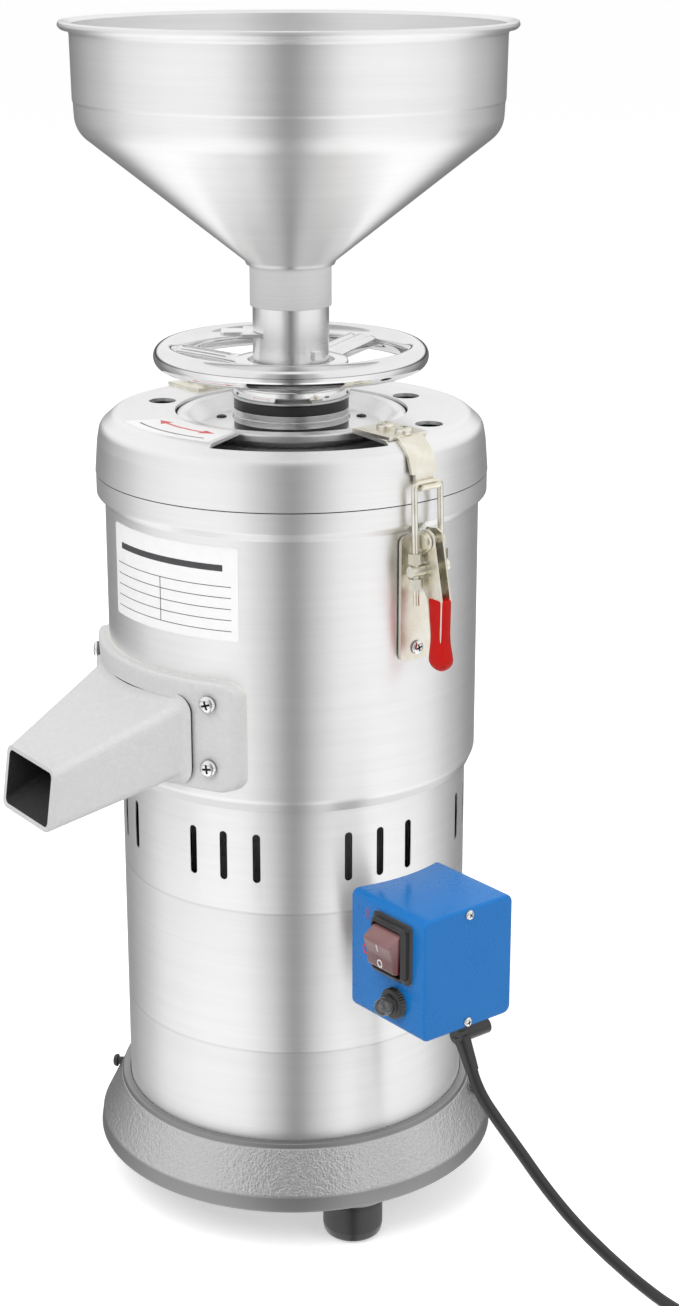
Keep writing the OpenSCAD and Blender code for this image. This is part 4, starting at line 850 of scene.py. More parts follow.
def make_lid():
    """The lid: a pressed cap with a soft shoulder, three round holes and a cleaning window."""
    height = LID_TOP - LID_Z
    outer = rounded_line([
        (LID_R, LID_Z), (LID_R - 1.4, LID_Z + height - 16), (LID_R - 3.0, LID_Z + height - 7.2),
        (LID_R - 11.4, LID_Z + height), (COVER_R + 1, LID_TOP)], [0, 18, 7.5, 6, 0], 9)
    inner = rounded_line([
        (COVER_R + 1, LID_TOP - LID_WALL), (LID_R - 12.2, LID_TOP - LID_WALL), (LID_R - 5, LID_TOP - 8.4),
        (LID_R - 3.4, LID_Z + height - 16), (LID_R - 2, LID_Z)], [0, 5, 6, 16, 0], 9)
    lid = new_piece("lid", *lathe(np.concatenate([outer, inner])), LID_STEEL, 35)
    opening = sector_cutter(COVER_R - 5, LID_R - 9, *WINDOW_AZ, LID_Z, LID_TOP + 1)
    window = new_piece("window", *opening, STEEL)
    ring_mid = (COVER_R + 1 + LID_R - 13.6) / 2
    holes = [post(0, LID_HOLE_R, LID_TOP - 8, LID_TOP + 4, ring_mid + step, az) for step, az in LID_HOLES]
    return stands_for(cut(lid, window, new_piece("holes", *merged(holes), STEEL)), "root", "lid_cover")


def make_cover_disc():
    """The pressed disc in the lid: a flat dish, a ramp and a rolled lip over the lid's edge."""
    outline = rounded_line([
        (NECK_R + 0.6, DISH_Z - 1.5), (COVER_R - 11, DISH_Z - 1.5), (COVER_R - 6.2, LID_TOP - 3.0),
        (COVER_R - 3.6, LID_TOP - 2.2), (COVER_R - 1.6, LID_TOP - 3), (COVER_R - 1.4, LID_TOP - 6),
        (COVER_R, LID_TOP - 6), (COVER_R, LID_TOP - 1.8), (COVER_R - 3.4, LID_TOP - 0.3),
        (COVER_R - 6.8, LID_TOP - 1.5), (COVER_R - 11.6, DISH_Z), (NECK_R + 0.6, DISH_Z)],
        [0, 2.4, 2.0, 1.0, 0.6, 0, 0.5, 1.6, 2.2, 2.4, 3.4, 0], 7, closed=True)
    return stands_for(new_piece("pressed_disc", *lathe(outline), LID_STEEL, 40), "root", "cover_disc")


# ---------- handwheel and hopper ----------

def spoke(az):
    """A wheel spoke: a squarish section carried outwards and up to the rim. Each section point
    is (w/2 |cos|^0.45, h/2 |sin|^0.45), and two grooves run along the top."""
    rho = np.linspace(NECK_R + 4, WHEEL_R - 2.5, 34)[:, None]
    share = (rho - rho[0]) / (rho[-1] - rho[0])
    a = ring_angles(96)
    width = SPOKE_W + 3.5 * (2 * share - 1) ** 4
    top = HUB_TOP - 0.6 + (WHEEL_Z + 3.4 - HUB_TOP + 0.6) * share ** 0.9
    bottom = HUB_TOP - 6.4 + (WHEEL_Z - 3.6 - HUB_TOP + 6.4) * share
    side = width / 2 * np.sign(np.cos(a)) * np.abs(np.cos(a)) ** 0.45
    up = (top + bottom) / 2 + (top - bottom) / 2 * np.sign(np.sin(a)) * np.abs(np.sin(a)) ** 0.45
    fade = np.clip((share - 0.14) / 0.08, 0, 1) * np.clip((0.93 - share) / 0.08, 0, 1)
    groove = np.exp(-(((np.abs(side) - 4.8) / 1.5) ** 4)) * fade * (np.sin(a) > 0)
    points = np.stack(np.broadcast_arrays(side, rho, up - 1.5 * groove), -1).reshape(-1, 3)
    return to_world(points, az), capped(len(rho), a.size)


def make_wheel():
    """The chromed handwheel: a ring, a hub turned with a waist, and three grooved spokes."""
    b = ring_angles(64)[0]
    bar = np.stack([WHEEL_R + WHEEL_BAR_R * np.cos(b), WHEEL_Z + WHEEL_BAR_R * np.sin(b)], -1)
    rim = new_piece("wheel_rim", *lathe(bar), CHROME)
    hub_line = rounded_line([
        (NECK_R + 0.05, HUB_Z), (HUB_R, HUB_Z), (HUB_R, HUB_Z + 7.9), (HUB_R - 5.6, HUB_Z + 10.2),
        (HUB_R - 6, HUB_TOP - 7.2), (HUB_R - 1.2, HUB_TOP - 5.2), (HUB_R - 1.0, HUB_TOP),
        (NECK_R + 0.05, HUB_TOP)], [0.3, 1.0, 1.4, 2, 2, 1.2, 1.6, 0.8], 6, closed=True)
    hub = new_piece("wheel_hub", *lathe(hub_line, 192), CHROME, 45)
    spokes = new_piece("wheel_spokes", *merged([spoke(az) for az in SPOKE_AZ]), CHROME, 50)
    for part in (hub, spokes):
        stands_for(part, "wheel")
    return stands_for(rim, "wheel", "handwheel")


def make_hopper():
    """The hopper: a spun cone and bowl of one sheet, with a soft shoulder, a faint bead above
    it and a rolled rim. The inside follows the outside at the sheet's thickness."""
    top = HOPPER_H
    outer = rounded_line([
        (THROAT_R, 0.4), (HOPPER_FOOT_R, 0.4), (HOPPER_FOOT_R + 0.9, 2.7), (CONE_R, CONE_H),
        (CONE_R + 0.8, BEAD_H), (CONE_R + 1.3, BEAD_H + 1.4), (HOPPER_R, top - 5.4),
        (RIM_R - 1.6, top - 4.4), (RIM_R, top - 2.6), (RIM_R - 0.6, top),
        (RIM_R - 3.0, top), (HOPPER_R - 1.0, top - 1.8)],
        [0, 0.8, 1.4, 26, 3, 3, 2.4, 1.3, 1.3, 1.2, 1.4, 2.2], 10)
    inner = rounded_line([
        (HOPPER_R - 1.2, top - 8), (HOPPER_R - 1.9, BEAD_H), (CONE_R - 1.2, CONE_H + 0.6),
        (HOPPER_FOOT_R + 0.4, 4.4), (THROAT_R, 3.6)],
        [3, 3, 25, 2, 0], 10)
    body = np.concatenate([outer, inner]) + (0, HOPPER_Z)
    hopper = stands_for(new_piece("hopper_shell", *lathe(body, 288), STEEL, 40), "hopper_body", "hopper")
    collar_line = rounded_line([
        (COLLAR_R - 1.3, -COLLAR_H), (COLLAR_R, -COLLAR_H), (COLLAR_R, 0.4), (THROAT_R, 0.4),
        (THROAT_R, 0), (COLLAR_R - 1.3, 0)], [0.2, 0.4, 0, 0, 0, 0], 4, closed=True)
    collar = new_piece("hopper_socket", *lathe(collar_line + (0, HOPPER_Z), 160), COLLAR)
    stands_for(collar, "hopper_body", "hopper_collar")
    return hopper


# ---------- spout ----------

def make_spout():
    """The cast spout. Each ray of its wall runs straight from the root's outline to the mouth's,
    and starts where it meets the bent flange, with a fillet that falls off as a quarter circle.
    The wall turns in at the mouth round its lip and runs back inside, where its bore attribute is 1
    and the casting is painted near-black as painted shade."""
    root, normal = frame_outline(*SPOUT_ROOT, 6, 8, 14)
    mouth, _ = frame_outline(*SPOUT_MOUTH, 5, 8, 14)
    hole, _ = frame_outline(SPOUT_MOUTH[0] - 2 * SPOUT_WALL, SPOUT_MOUTH[1] - 2 * SPOUT_WALL, 3.2, 8, 14)
    tilt = math.radians(SPOUT_TILT)

    def at_mouth(outline, back=0.0):
        """An outline in the mouth's leaning plane, moved back along the spout."""
        out = SPOUT_REACH - outline[:, 1] * math.sin(tilt) - back * math.cos(tilt)
        up = SPOUT_MOUTH_Z + outline[:, 1] * math.cos(tilt) - back * math.sin(tilt)
        return np.stack([outline[:, 0], out, up], -1)

    start = upright(root + (0, SPOUT_ROOT_Z), SPOUT_INSIDE + 2)
    end = at_mouth(mouth, 1.2)
    ray = end - start
    a = ray[:, 0] ** 2 + ray[:, 1] ** 2
    b = 2 * (start[:, 0] * ray[:, 0] + start[:, 1] * ray[:, 1])
    c = start[:, 0] ** 2 + start[:, 1] ** 2 - (FLANGE_OUT - 0.5) ** 2
    meet = start + ray * np.clip((-b + np.sqrt(np.maximum(b * b - 4 * a * c, 0))) / (2 * a), 0, 1)[:, None]
    length = np.linalg.norm(end - meet, axis=1)[:, None]
    fillet = 5.0
    from_flange = np.concatenate([[0, 0.35, 0.9, 1.7, 2.8, 4.0, fillet], np.linspace(9, 56, 9)])
    outward = upright(normal, 0.0)
    rows = []
    for d in from_flange:
        swell = fillet - math.sqrt(max(fillet ** 2 - max(fillet - d, 0) ** 2, 0))
        rows.append(meet + (end - meet) * np.minimum(d / length, 0.96) + outward * swell)
    for back, share in ((1.2, 1.0), (0.35, 0.985), (0.0, 0.95), (0.0, 0.5), (0.35, 0.0)):
        rows.append(at_mouth(hole + (mouth - hole) * share, back))
    first_inside = len(rows) - 1
    inner_end = at_mouth(hole, 1.4)
    inner_start = upright(root * (0.9, 0.84) + (0, SPOUT_ROOT_Z - 1), SPOUT_INSIDE)
    for share in (0, 0.3, 0.6, 0.85, 1):
        rows.append(inner_end + (inner_start - inner_end) * share)
    rows.append(upright(root + (0, SPOUT_ROOT_Z), SPOUT_INSIDE))
    faces = grid_faces(len(rows), len(root), close_rows=True)
    body = new_piece("spout_body", to_world(np.concatenate(rows), SPOUT_AZ), faces, SPOUT_CAST, 40)
    row_of_face = np.arange(len(body.data.polygons)) // len(root)
    # painted shade: faces inside the spout get bore 1, which paints them near-black
    mark = body.data.attributes.new("bore", "FLOAT", "FACE")
    mark.data.foreach_set("value", (row_of_face >= first_inside).astype(np.float32))
    stands_for(body, "root", "outlet_spout")
    make_flange()
    return body


def make_flange():
    """The spout's flange: a plate with round corners and a broken edge, bent round the shell.
    A point of the flat outline at (side, up) lies on a circle of its own radius."""
    outer, normal = frame_outline(*FLANGE_SIZE, 9, 8, 30)
    inner, _ = frame_outline(SPOUT_ROOT[0] - 5, SPOUT_ROOT[1] - 5, 4, 8, 30)
    rows = []
    for ring, inset, radius in ((inner, 0, FLANGE_IN), (outer, 0, FLANGE_IN), (outer, 0, FLANGE_OUT - 1.8),
                                (outer, 0.5, FLANGE_OUT - 0.7), (outer, 1.8, FLANGE_OUT - 0.05),
                                (outer, 3.2, FLANGE_OUT), (inner, 0, FLANGE_OUT)):
        flat = ring - normal * inset
        depth = np.sqrt(radius ** 2 - np.minimum(np.abs(flat[:, 0]), radius * 0.99) ** 2)
        rows.append(upright(flat + (0, FLANGE_Z), depth))
    faces = grid_faces(len(rows), len(outer), close_rows=True)
    flange = new_piece("spout_flange", to_world(np.concatenate(rows), SPOUT_AZ), faces, SPOUT_CAST, 45)
    return stands_for(flange, "root")


# ---------- screws ----------

def screw_shape(head_r, head_h, recess):
    """A pan head standing on z = 0: a dome turned from a quarter ellipse, with a crossed
    recess cut in its top. Gives its points, its faces, and how dark each face is painted: painted shade in
    the cross and at the head's foot."""
    a = np.linspace(0, math.pi / 2, 9)
    dome = np.stack([head_r * np.cos(a) ** 0.7, head_h * (0.32 + 0.68 * np.sin(a))], -1)
    outline = np.concatenate([[(0, -0.6), (head_r * 0.96, -0.6), (head_r, 0)], dome[:-1], [(0, head_h)]])
    head = new_piece("screw_shape", *lathe(outline, 48), BRIGHT_SCREW)
    corners = np.array([(-1, -1), (1, -1), (1, 1), (-1, 1)]) * (recess, recess * 0.24)
    bottom = np.insert(corners * (0.75, 0.7), 2, head_h * 0.35, axis=1)
    bar = np.concatenate([bottom, np.insert(corners, 2, head_h + 1, axis=1)])
    bars = [new_piece("recess", to_world(bar, turn), capped(2, 4), BRIGHT_SCREW) for turn in (180, 90)]
    cut(head, *bars)
    points = np.empty(len(head.data.vertices) * 3)
    head.data.vertices.foreach_get("co", points)
    faces = [list(face.vertices) for face in head.data.polygons]
    x, y, z = np.array([face.center for face in head.data.polygons]).T / MM
    off_axis = np.hypot(x, y)
    # painted shade: faces in the cross, and faces at the head's foot, are marked to be painted dark
    cross_shade = (off_axis < recess) & (z < head_h * 0.8) & (z > 0)
    foot_shade = (off_axis > recess) & (z < head_h * 0.36)
    bpy.data.objects.remove(head)
    return points.reshape(-1, 3) / MM, faces, np.maximum(cross_shade, 0.85 * foot_shade)


def facing(points, turn, kind):
    """Screw points turned about their own axis, and laid with that axis outwards or upwards."""
    x, y, z = np.moveaxis(points, -1, 0)
    spin = math.radians(turn)
    x, y = x * math.cos(spin) - y * math.sin(spin), x * math.sin(spin) + y * math.cos(spin)
    return np.stack([x, z, y] if kind == "out" else [x, y, z], -1)


def make_screws(name, node, shape, places, kind, material):
    """Copies of a screw shape at (az, side, out, up, turn), as one piece."""
    points, faces, recess = shape
    parts = [(to_world(facing(points, turn, kind) + (side, out, up), az), faces)
             for az, side, out, up, turn in places]
    piece = new_piece(name, *merged(parts), material, 40)
    # the recess attribute carries the painted shade of the cross and the foot
    mark = piece.data.attributes.new("recess", "FLOAT", "FACE")
    mark.data.foreach_set("value", np.tile(recess, len(places)).astype(np.float32))
    return stands_for(piece, BODY_OF[node], node)


def make_all_screws():
    """The screws of the spout, the latches, the box, the straps and the disc."""
    half_az, dz, mid_z = SPOUT_SCREWS
    make_screws("spout_pan_screws", "spout_screws", screw_shape(*SPOUT_HEAD), [
        (SPOUT_AZ + s * half_az, 0, FLANGE_OUT, mid_z + k * dz, 20 + 37 * s + 50 * k)
        for s in (-1, 1) for k in (-1, 1)], "out", BRIGHT_SCREW)
    make_screws("latch_pan_screws", "latch_screws", screw_shape(*LATCH_HEAD), [
        (LATCH_AZ + turn, 0, LATCH_FACE, LATCH_SCREW_Z, 15) for turn in (0, 180)], "out", BRIGHT_SCREW)
    make_screws("box_pan_screws", "box_screws", screw_shape(*BOX_HEAD), [
        (BOX_AZ, 0, BOX_REACH, BOX_MID_Z + k * BOX_SCREW_DZ, 30 + 20 * k) for k in (-1, 1)],
        "out", BRIGHT_SCREW)
    make_screws("strap_round_bolts", "strap_bolts", screw_shape(*STRAP_HEAD), [
        (LATCH_AZ + turn, 0, rho, LID_TOP + 2, 25 + rho) for turn in (0, 180) for rho in STRAP_BOLTS],
        "up", ZINC)
    make_screws("disc_set_screws", "disc_screws", screw_shape(*DISC_HEAD), [
        (120 * k, 0, DISC_SCREW_RHO, DISH_Z, 40 * k) for k in range(3)], "up", DARK_SCREW)


# ---------- latches ----------

def make_grip(node, az):
    """The dip-coated grip. Sections are stretched rings |cos|^0.8, |sin|^0.8 along the lever:
    straight at first, then a waist, then a bulb that closes with a quarter circle."""
    bulb = 0.82 + 0.18 * np.sin(np.linspace(0.06, 1, 12) * math.pi / 2)
    t = np.concatenate([[0, 0.006, 0.02], np.linspace(0.05, 0.82, 30), bulb])[:, None]
    up = GRIP_TOP + (GRIP_END - GRIP_TOP) * t
    knots = [0, 0.25, 0.52, 0.64, 0.82, 1.0]
    centre = np.interp(t, knots, [131.1, 131.6, 132.1, 132.3, 132.7, 132.9])
    depth = np.interp(t, knots, [7.1, 6.5, 5.7, 5.9, 7.3, 7.3])
    width = np.interp(t, knots, [5.0, 4.8, 4.6, 4.9, 5.9, 5.9])
    smooth = np.ones(9) / 9
    for line in (depth, width):
        padded = np.concatenate([np.repeat(line[:1, 0], 4), line[:, 0], np.repeat(line[-1:, 0], 4)])
        line[:, 0] = np.convolve(padded, smooth, "valid")
    round_end = np.sqrt(np.clip(1 - ((t - 0.82) / 0.18).clip(0) ** 2, 0, 1))
    round_top = np.array([0.86, 0.94, 0.985] + [1.0] * (len(t) - 3))[:, None]
    a = ring_angles(64)
    side = width * round_end * round_top * np.sign(np.cos(a)) * np.abs(np.cos(a)) ** 0.8
    out = centre + depth * round_end * round_top * np.sign(np.sin(a)) * np.abs(np.sin(a)) ** 0.8
    points = np.stack(np.broadcast_arrays(side, out, up), -1).reshape(-1, 3)
    grip = new_piece(node + "_dip", to_world(points, az), capped(len(t), a.size), GRIP_RED, 50)
    return stands_for(grip, BODY_OF[node], node)


# ---------- switch box ----------

def box_side(outline, distance):
    """An outline (outwards, up) on the box's switch side, at a distance from its middle."""
    return np.stack([np.broadcast_to(-distance, len(outline)), outline[:, 0], outline[:, 1]], -1)


def make_box():
    """The switch box. Its section is a rectangle with round corners, carried from the tube's
    surface outwards; the outer face closes over a rounded edge towards its middle."""
    outline, normal = frame_outline(*BOX_SIZE, 5, 8, 16)
    seat_r = TUBE_R + 0.3

    def on_tube(flat):
        """How far out the tube's surface is behind each point of a flat outline."""
        return np.sqrt(seat_r ** 2 - flat[:, 0] ** 2)

    back = on_tube(outline)
    rows = [upright(outline * share, on_tube(outline * share)) for share in (0.0, 0.35, 0.7, 0.96)]
    rows.append(upright(outline - normal * 0.3, back))
    rows += [upright(outline, back + 0.6 + (BOX_REACH - BOX_EDGE - back - 0.6) * share)
             for share in (0.01, 0.5, 1.0)]
    for a in np.linspace(0, math.pi / 2, 7)[1:]:
        inset, depth = BOX_EDGE * (1 - math.cos(a)), BOX_EDGE * (1 - math.sin(a))
        rows.append(upright(outline - normal * inset, BOX_REACH - depth))
    rows += [upright(outline * share, BOX_REACH) for share in (0.9, 0.6, 0.3, 0.0)]
    points = to_world(np.concatenate(rows) + (0, 0, BOX_MID_Z), BOX_AZ)
    box = new_piece("switch_box", points, grid_faces(len(rows), len(outline)), BOX_BLUE, 40)
    opening, _ = frame_outline(BEZEL_SIZE[0] - 4.6, BEZEL_SIZE[1] - 4.6, 1, 3, 1)
    well = np.concatenate([box_side(opening + (SWITCH_RHO, SWITCH_Z), d) for d in (6, 40)])
    cut(box, new_piece("switch_well", to_world(well, BOX_AZ), capped(2, len(opening)), BOX_BLUE))
    box.visible_glossy = False
    return stands_for(box, "root", "control_box")


def make_bezel():
    """The switch's bezel: a flat frame, a rubber fold and a raised inner lip round the rocker.
    Its rows are outlines (outwards, up) at growing distances from the box's side."""
    face = BOX_SIZE[0] / 2
    w, h = BEZEL_SIZE
    hole_w, hole_h = ROCKER_W + 0.7, 2 * ROCKER_R + 0.7
    steps = (
        (w, h, 2.4, 0.0), (w, h, 2.4, 1.7), (w - 0.8, h - 0.8, 2.2, 2.3), (w - 3.0, h - 3.0, 2.6, 2.5),
        (w - 3.6, h - 3.6, 3.0, 3.0), (w - 3.3, h - 3.3, 3.2, 4.2), (w - 3.9, h - 3.9, 3.2, 5.2),
        (w - 5.2, h - 5.2, 3.0, 5.7), (hole_w + 1.2, hole_h + 1.2, 2.2, 6.2),
        (hole_w + 0.2, hole_h + 0.2, 1.6, 5.8), (hole_w, hole_h, 1.4, 5.0), (hole_w, hole_h, 1.4, -20.0),
        (w - 5.1, h - 5.1, 1.4, -20.0), (w - 5.1, h - 5.1, 1.4, 0.0))
    rows = [box_side(frame_outline(a, b, corner, 6, 4)[0] + (SWITCH_RHO, SWITCH_Z), face + out)
            for a, b, corner, out in steps]
    faces = grid_faces(len(rows), len(rows[0]), close_rows=True)
    bezel = new_piece("switch_frame", to_world(np.concatenate(rows), BOX_AZ), faces, BLACK_PLASTIC, 35)
    return stands_for(bezel, "root", "switch_bezel")


def make_rocker():
    """The rocker: its section is two shallow faces that meet in a hollow, with round ends,
    pushed along its pivot. Its marks stand a little proud of the faces."""
    turn = math.radians(ROCKER_TILT)
    section = rounded_line([
        (9, -8), (9, 8), (0, ROCKER_R - 0.3), (-9.4, 9.2), (-ROCKER_FACE, 0), (-9.4, -9.2),
        (0, 0.3 - ROCKER_R)], [1, 1, 4, 2.6, 9, 2.6, 4], 7, closed=True)
    tilted = np.stack([section[:, 0] * math.cos(turn) - section[:, 1] * math.sin(turn),
                       section[:, 0] * math.sin(turn) + section[:, 1] * math.cos(turn)], -1)
    ends = ((-ROCKER_W / 2, 0.94), (-ROCKER_W / 2 + 0.5, 0.985), (-ROCKER_W / 2 + 1.4, 1.0),
            (ROCKER_W / 2 - 1.4, 1.0), (ROCKER_W / 2 - 0.5, 0.985), (ROCKER_W / 2, 0.94))
    rows = [np.stack([tilted[:, 0] * s - ROCKER_PIVOT, np.full(len(tilted), SWITCH_RHO + y),
                      tilted[:, 1] * s + SWITCH_Z], -1) for y, s in ends]
    points = to_world(np.concatenate(rows), BOX_AZ)
    rocker = new_piece("rocker_key", points, capped(len(rows), len(section)), ROCKER_RED, 35)
    stands_for(rocker, "rocker_body", "rocker")
    lean = math.atan2(9.4 - ROCKER_FACE, 9.2)
    for kind, sign in (("on", 1), ("off", -1)):
        mark, faces = rocker_mark(kind)
        along = 5.2 * sign + mark[:, 1]
        face_x = -ROCKER_FACE - np.abs(along) * math.tan(lean) - 0.02 - mark[:, 2]
        x = face_x * math.cos(turn) - along * math.sin(turn) - ROCKER_PIVOT
        z = face_x * math.sin(turn) + along * math.cos(turn) + SWITCH_Z
        points = to_world(np.stack([x, SWITCH_RHO + mark[:, 0], z], -1), BOX_AZ)
        stands_for(new_piece("mark_" + kind, points, faces, MARK_WHITE, 40), "rocker_body")


def rocker_mark(kind):
    """A bar for on, or a ring for off, as a thin raised sign (side, up, height)."""
    if kind == "on":
        return pushed(frame_outline(0.9, 4.6, 0.3, 3, 1)[0], (0.0, 0.25))
    a = ring_angles(48)[0]
    rows = [np.stack([r * np.cos(a), r * 1.15 * np.sin(a), np.full(48, z)], -1)
            for r, z in ((1.5, 0.0), (2.3, 0.0), (2.3, 0.25), (1.5, 0.25))]
    return np.concatenate(rows), grid_faces(4, 48, close_rows=True)


def reset_part(name, body, nodes, line, material, sharp_angle, segments=72, ripple=0.0):
    """A line (radius, distance) turned round the reset button's axis, which stands on the box's
    side. Where the radius is over 8.6 it ripples 36 times round. An open line ends on the axis."""
    a = ring_angles(segments)
    r, distance = line[:, :1], line[:, 1:2]
    r = r + np.where(r > 8.6, ripple * np.cos(36 * a), 0)
    points = np.stack(np.broadcast_arrays(-BOX_SIZE[0] / 2 - distance, RESET_RHO + r * np.cos(a),
                                          RESET_Z + r * np.sin(a)), -1).reshape(-1, 3)
    faces = grid_faces(len(line), segments, close_rows=line[0, 0] > 0)
    return stands_for(new_piece(name, to_world(points, BOX_AZ), faces, material, sharp_angle), body, *nodes)


def make_reset():
    """The reset button: a knurled nut, a clear cap and the stem that shows through it."""
    nut_line = rounded_line([
        (5.6, -5), (7, -5), (7, 0.1), (8.9, 0.1), (8.9, 4.2), (7.9, 4.9), (6.4, 4.9), (6.2, 6.5),
        (5.6, 6.5)], [0, 0, 0, 0.3, 0.5, 0.5, 0.2, 0.3, 0.2], 4, closed=True)
    cap_line = rounded_line([
        (0, -4), (5.4, -4), (5.4, 9.6), (4.6, 12.6), (2.4, 14.4), (0, 14.4)], [0, 0.4, 2, 2.4, 2, 0], 6)
    stem_line = rounded_line([
        (0, -3), (3.1, -3), (3.1, 8.6), (1.9, 9.8), (1.9, 11.2), (0, 11.6)], [0, 0.2, 0.8, 0.4, 0.5, 0], 5)
    reset_part("knurled_nut", "root", ["reset_nut"], nut_line, BLACK_PLASTIC, 35, 288, 0.22)
    reset_part("clear_cap", "reset_body", ["reset_button"], cap_line, CLEAR, 50)
    reset_part("reset_stem", "reset_body", [], stem_line, BLACK_PLASTIC, 50)


# ---------- signs ----------

def bent_sign(name, az_from, az_to, z_from, z_to, radius, thickness, material, corner=1.5):
    """A thin plate bent round the axis: a flat outline in (arc length, height) laid on a
    cylinder, with a front, a back and an edge."""
    width = math.radians(az_to - az_from) * radius
    outline, _ = frame_outline(width, z_to - z_from, corner, 5, 40)
    mid_az, mid_z = (az_from + az_to) / 2, (z_from + z_to) / 2
    rows = []
    for share, r in ((0.0, radius + thickness), (1.0, radius + thickness), (1.0, radius), (0.0, radius)):
        flat = outline * (1, share)
        turn = flat[:, 0] / radius
        rows.append(np.stack([r * np.sin(turn), r * np.cos(turn), flat[:, 1] + mid_z], -1))
    points = to_world(np.concatenate(rows), mid_az)
    piece = new_piece(name, points, grid_faces(len(rows), len(outline)), material, 40)
    return stands_for(piece, "root")


def make_rating_plate():
    """A white plate with plain rules and no words: a heading bar and a ruled table."""
    bent_sign("rating_plate", -66.5, -15.8, 379.5, 433.3, SHELL_R + 0.02, 0.25, LABEL_WHITE)
    face = SHELL_R + 0.27
    for k, z in enumerate((410.6, 404.2, 397.8, 391.4, 385.0)):
        bent_sign(f"plate_rule_{k + 1}", -64.5, -18.0, z, z + 0.45, face, 0.03, LABEL_INK, 0.1)
    bent_sign("plate_divider", -42.6, -42.3, 385.0, 411.0, face, 0.03, LABEL_INK, 0.1)
    bent_sign("plate_heading", -62.0, -20.5, 419.5, 423.2, face, 0.03, LABEL_INK, 0.3)


def flat_sign(name, outline, z, thickness, material):
    """A thin plate with a polar outline (radius, az) lying on a level face."""
    r, a = outline[:, 0], np.radians(outline[:, 1])
    flat = np.stack([r * np.sin(a), -r * np.cos(a)], -1)
    return stands_for(new_piece(name, *pushed(flat, (z, z + thickness)), material, 40), "root")


def arc_band(r_in, r_out, az_from, az_to, steps=28):
    """The outline of a band between two radii, as (radius, az)."""
    a = np.linspace(az_from, az_to, steps)
    inner = np.stack([np.full(steps, r_in), a], -1)
    outer = np.stack([np.full(steps, r_out), a[::-1]], -1)
    return np.concatenate([inner, outer])


def make_turning_sign():
    """The sticker on the lid: a pale sector with a red arrow that points both ways and a rule."""
    top = LID_TOP
    flat_sign("turning_sign", arc_band(COVER_R + 3.4, LID_R - 14.6, -70, -27), top, 0.12, LABEL_WHITE)
    shaft = arc_band(80.6, 82.4, -60, -38)
    flat_sign("turning_arrow", shaft, top + 0.12, 0.05, LABEL_RED)
    for name, tip, tail in (("head_left", -66.5, -60), ("head_right", -31.5, -38)):
        head = np.array([(77.6, tail), (81.5, tip), (85.4, tail)])
        flat_sign("turning_" + name, head, top + 0.12, 0.05, LABEL_RED)
    flat_sign("turning_rule", arc_band(93.5, 94.7, -66, -31), top + 0.12, 0.05, LABEL_INK)


def make_box_marks():
    """Plain raised signs beside the switch: a bar for on and a ring for off."""
    face = BOX_SIZE[0] / 2
    for kind, rho, z, scale in (("on", 113.6, 217.0, 1.3), ("off", 112.4, 194.5, 1.25)):
        points, faces = rocker_mark(kind)
        side, up, height = points.T
        placed = np.stack([-face - height * 0.6 + 0.02, rho + side * scale, z + up * scale], -1)
        stands_for(new_piece("box_mark_" + kind, to_world(placed, BOX_AZ), faces, MARK_RED, 40), "root")


# ---------- cord ----------

CORD_ROUTE = (
    (102, -132, 127.5), (104.1, -132.9, 120.6), (108.6, -134.9, 110.8), (115, -137.6, 101),
    (123, -141.1, 90), (131.6, -144.8, 78.4), (141, -149, 65.6), (151, -153.5, 53.3),
    (162, -158.5, 41.4), (174, -164, 30.3), (187, -170.6, 20), (200, -178.2, 11.4),
    (213, -188.5, 6), (226, -200, 4.1), (237.9, -208.8, 3.6))
CORD_D = 7.0
COIL_MID = (220, -256)
COIL_R = 48.0
COIL_PITCH = 7.6
COIL_START = 53.13
COIL_TURNS = 5 + COIL_START / 360
COIL_STEPS = 24
COIL_Z = 3.6
COIL_LEAD = 30.0


def coil_points():
    """The coil: the radius falls by the pitch each turn and grows again over the second layer,
    and the height climbs by the pitch in the half turn where the spiral turns back."""
    sweep = 360 * COIL_TURNS
    a = np.linspace(0, sweep, round(COIL_TURNS * COIL_STEPS) + 1)
    r = COIL_R - COIL_PITCH * np.minimum(a, sweep - a) / 360
    z = COIL_Z + COIL_PITCH * np.clip((a - sweep / 2 + 90) / 180, 0, 1)
    turn = np.radians(COIL_START - a)
    return np.stack([COIL_MID[0] + r * np.cos(turn), COIL_MID[1] + r * np.sin(turn), z], -1)


def make_cord():
    """The mains lead as one smooth curve: out of the relief, down to the floor, and into the coil."""
    coil = coil_points()
    end = coil[-1] + (0, -COIL_LEAD, 0)
    route = np.concatenate([np.array(CORD_ROUTE), coil, [coil[-1] + (0, -CORD_D, 0), end]])
    curve = bpy.data.curves.new("mains_lead", "CURVE")
    curve.dimensions = "3D"
    curve.bevel_depth = CORD_D / 2 * MM
    curve.bevel_resolution = 5
    curve.resolution_u = 4
    curve.use_fill_caps = True
    line = curve.splines.new("BEZIER")
    line.bezier_points.add(len(route) - 1)
    line.bezier_points.foreach_set("co", (route * MM).ravel())
    for knot in line.bezier_points:
        knot.handle_left_type = knot.handle_right_type = "AUTO"
    curve.materials.append(CORD_RUBBER)
    lead = bpy.data.objects.new("mains_lead", curve)
    bpy.context.scene.collection.objects.link(lead)
    stands_for(lead, "root", "power_cord", "cord_coil")
    dressed("plug", PLUG_SKIN, 0.5)


# ---------- studio ----------

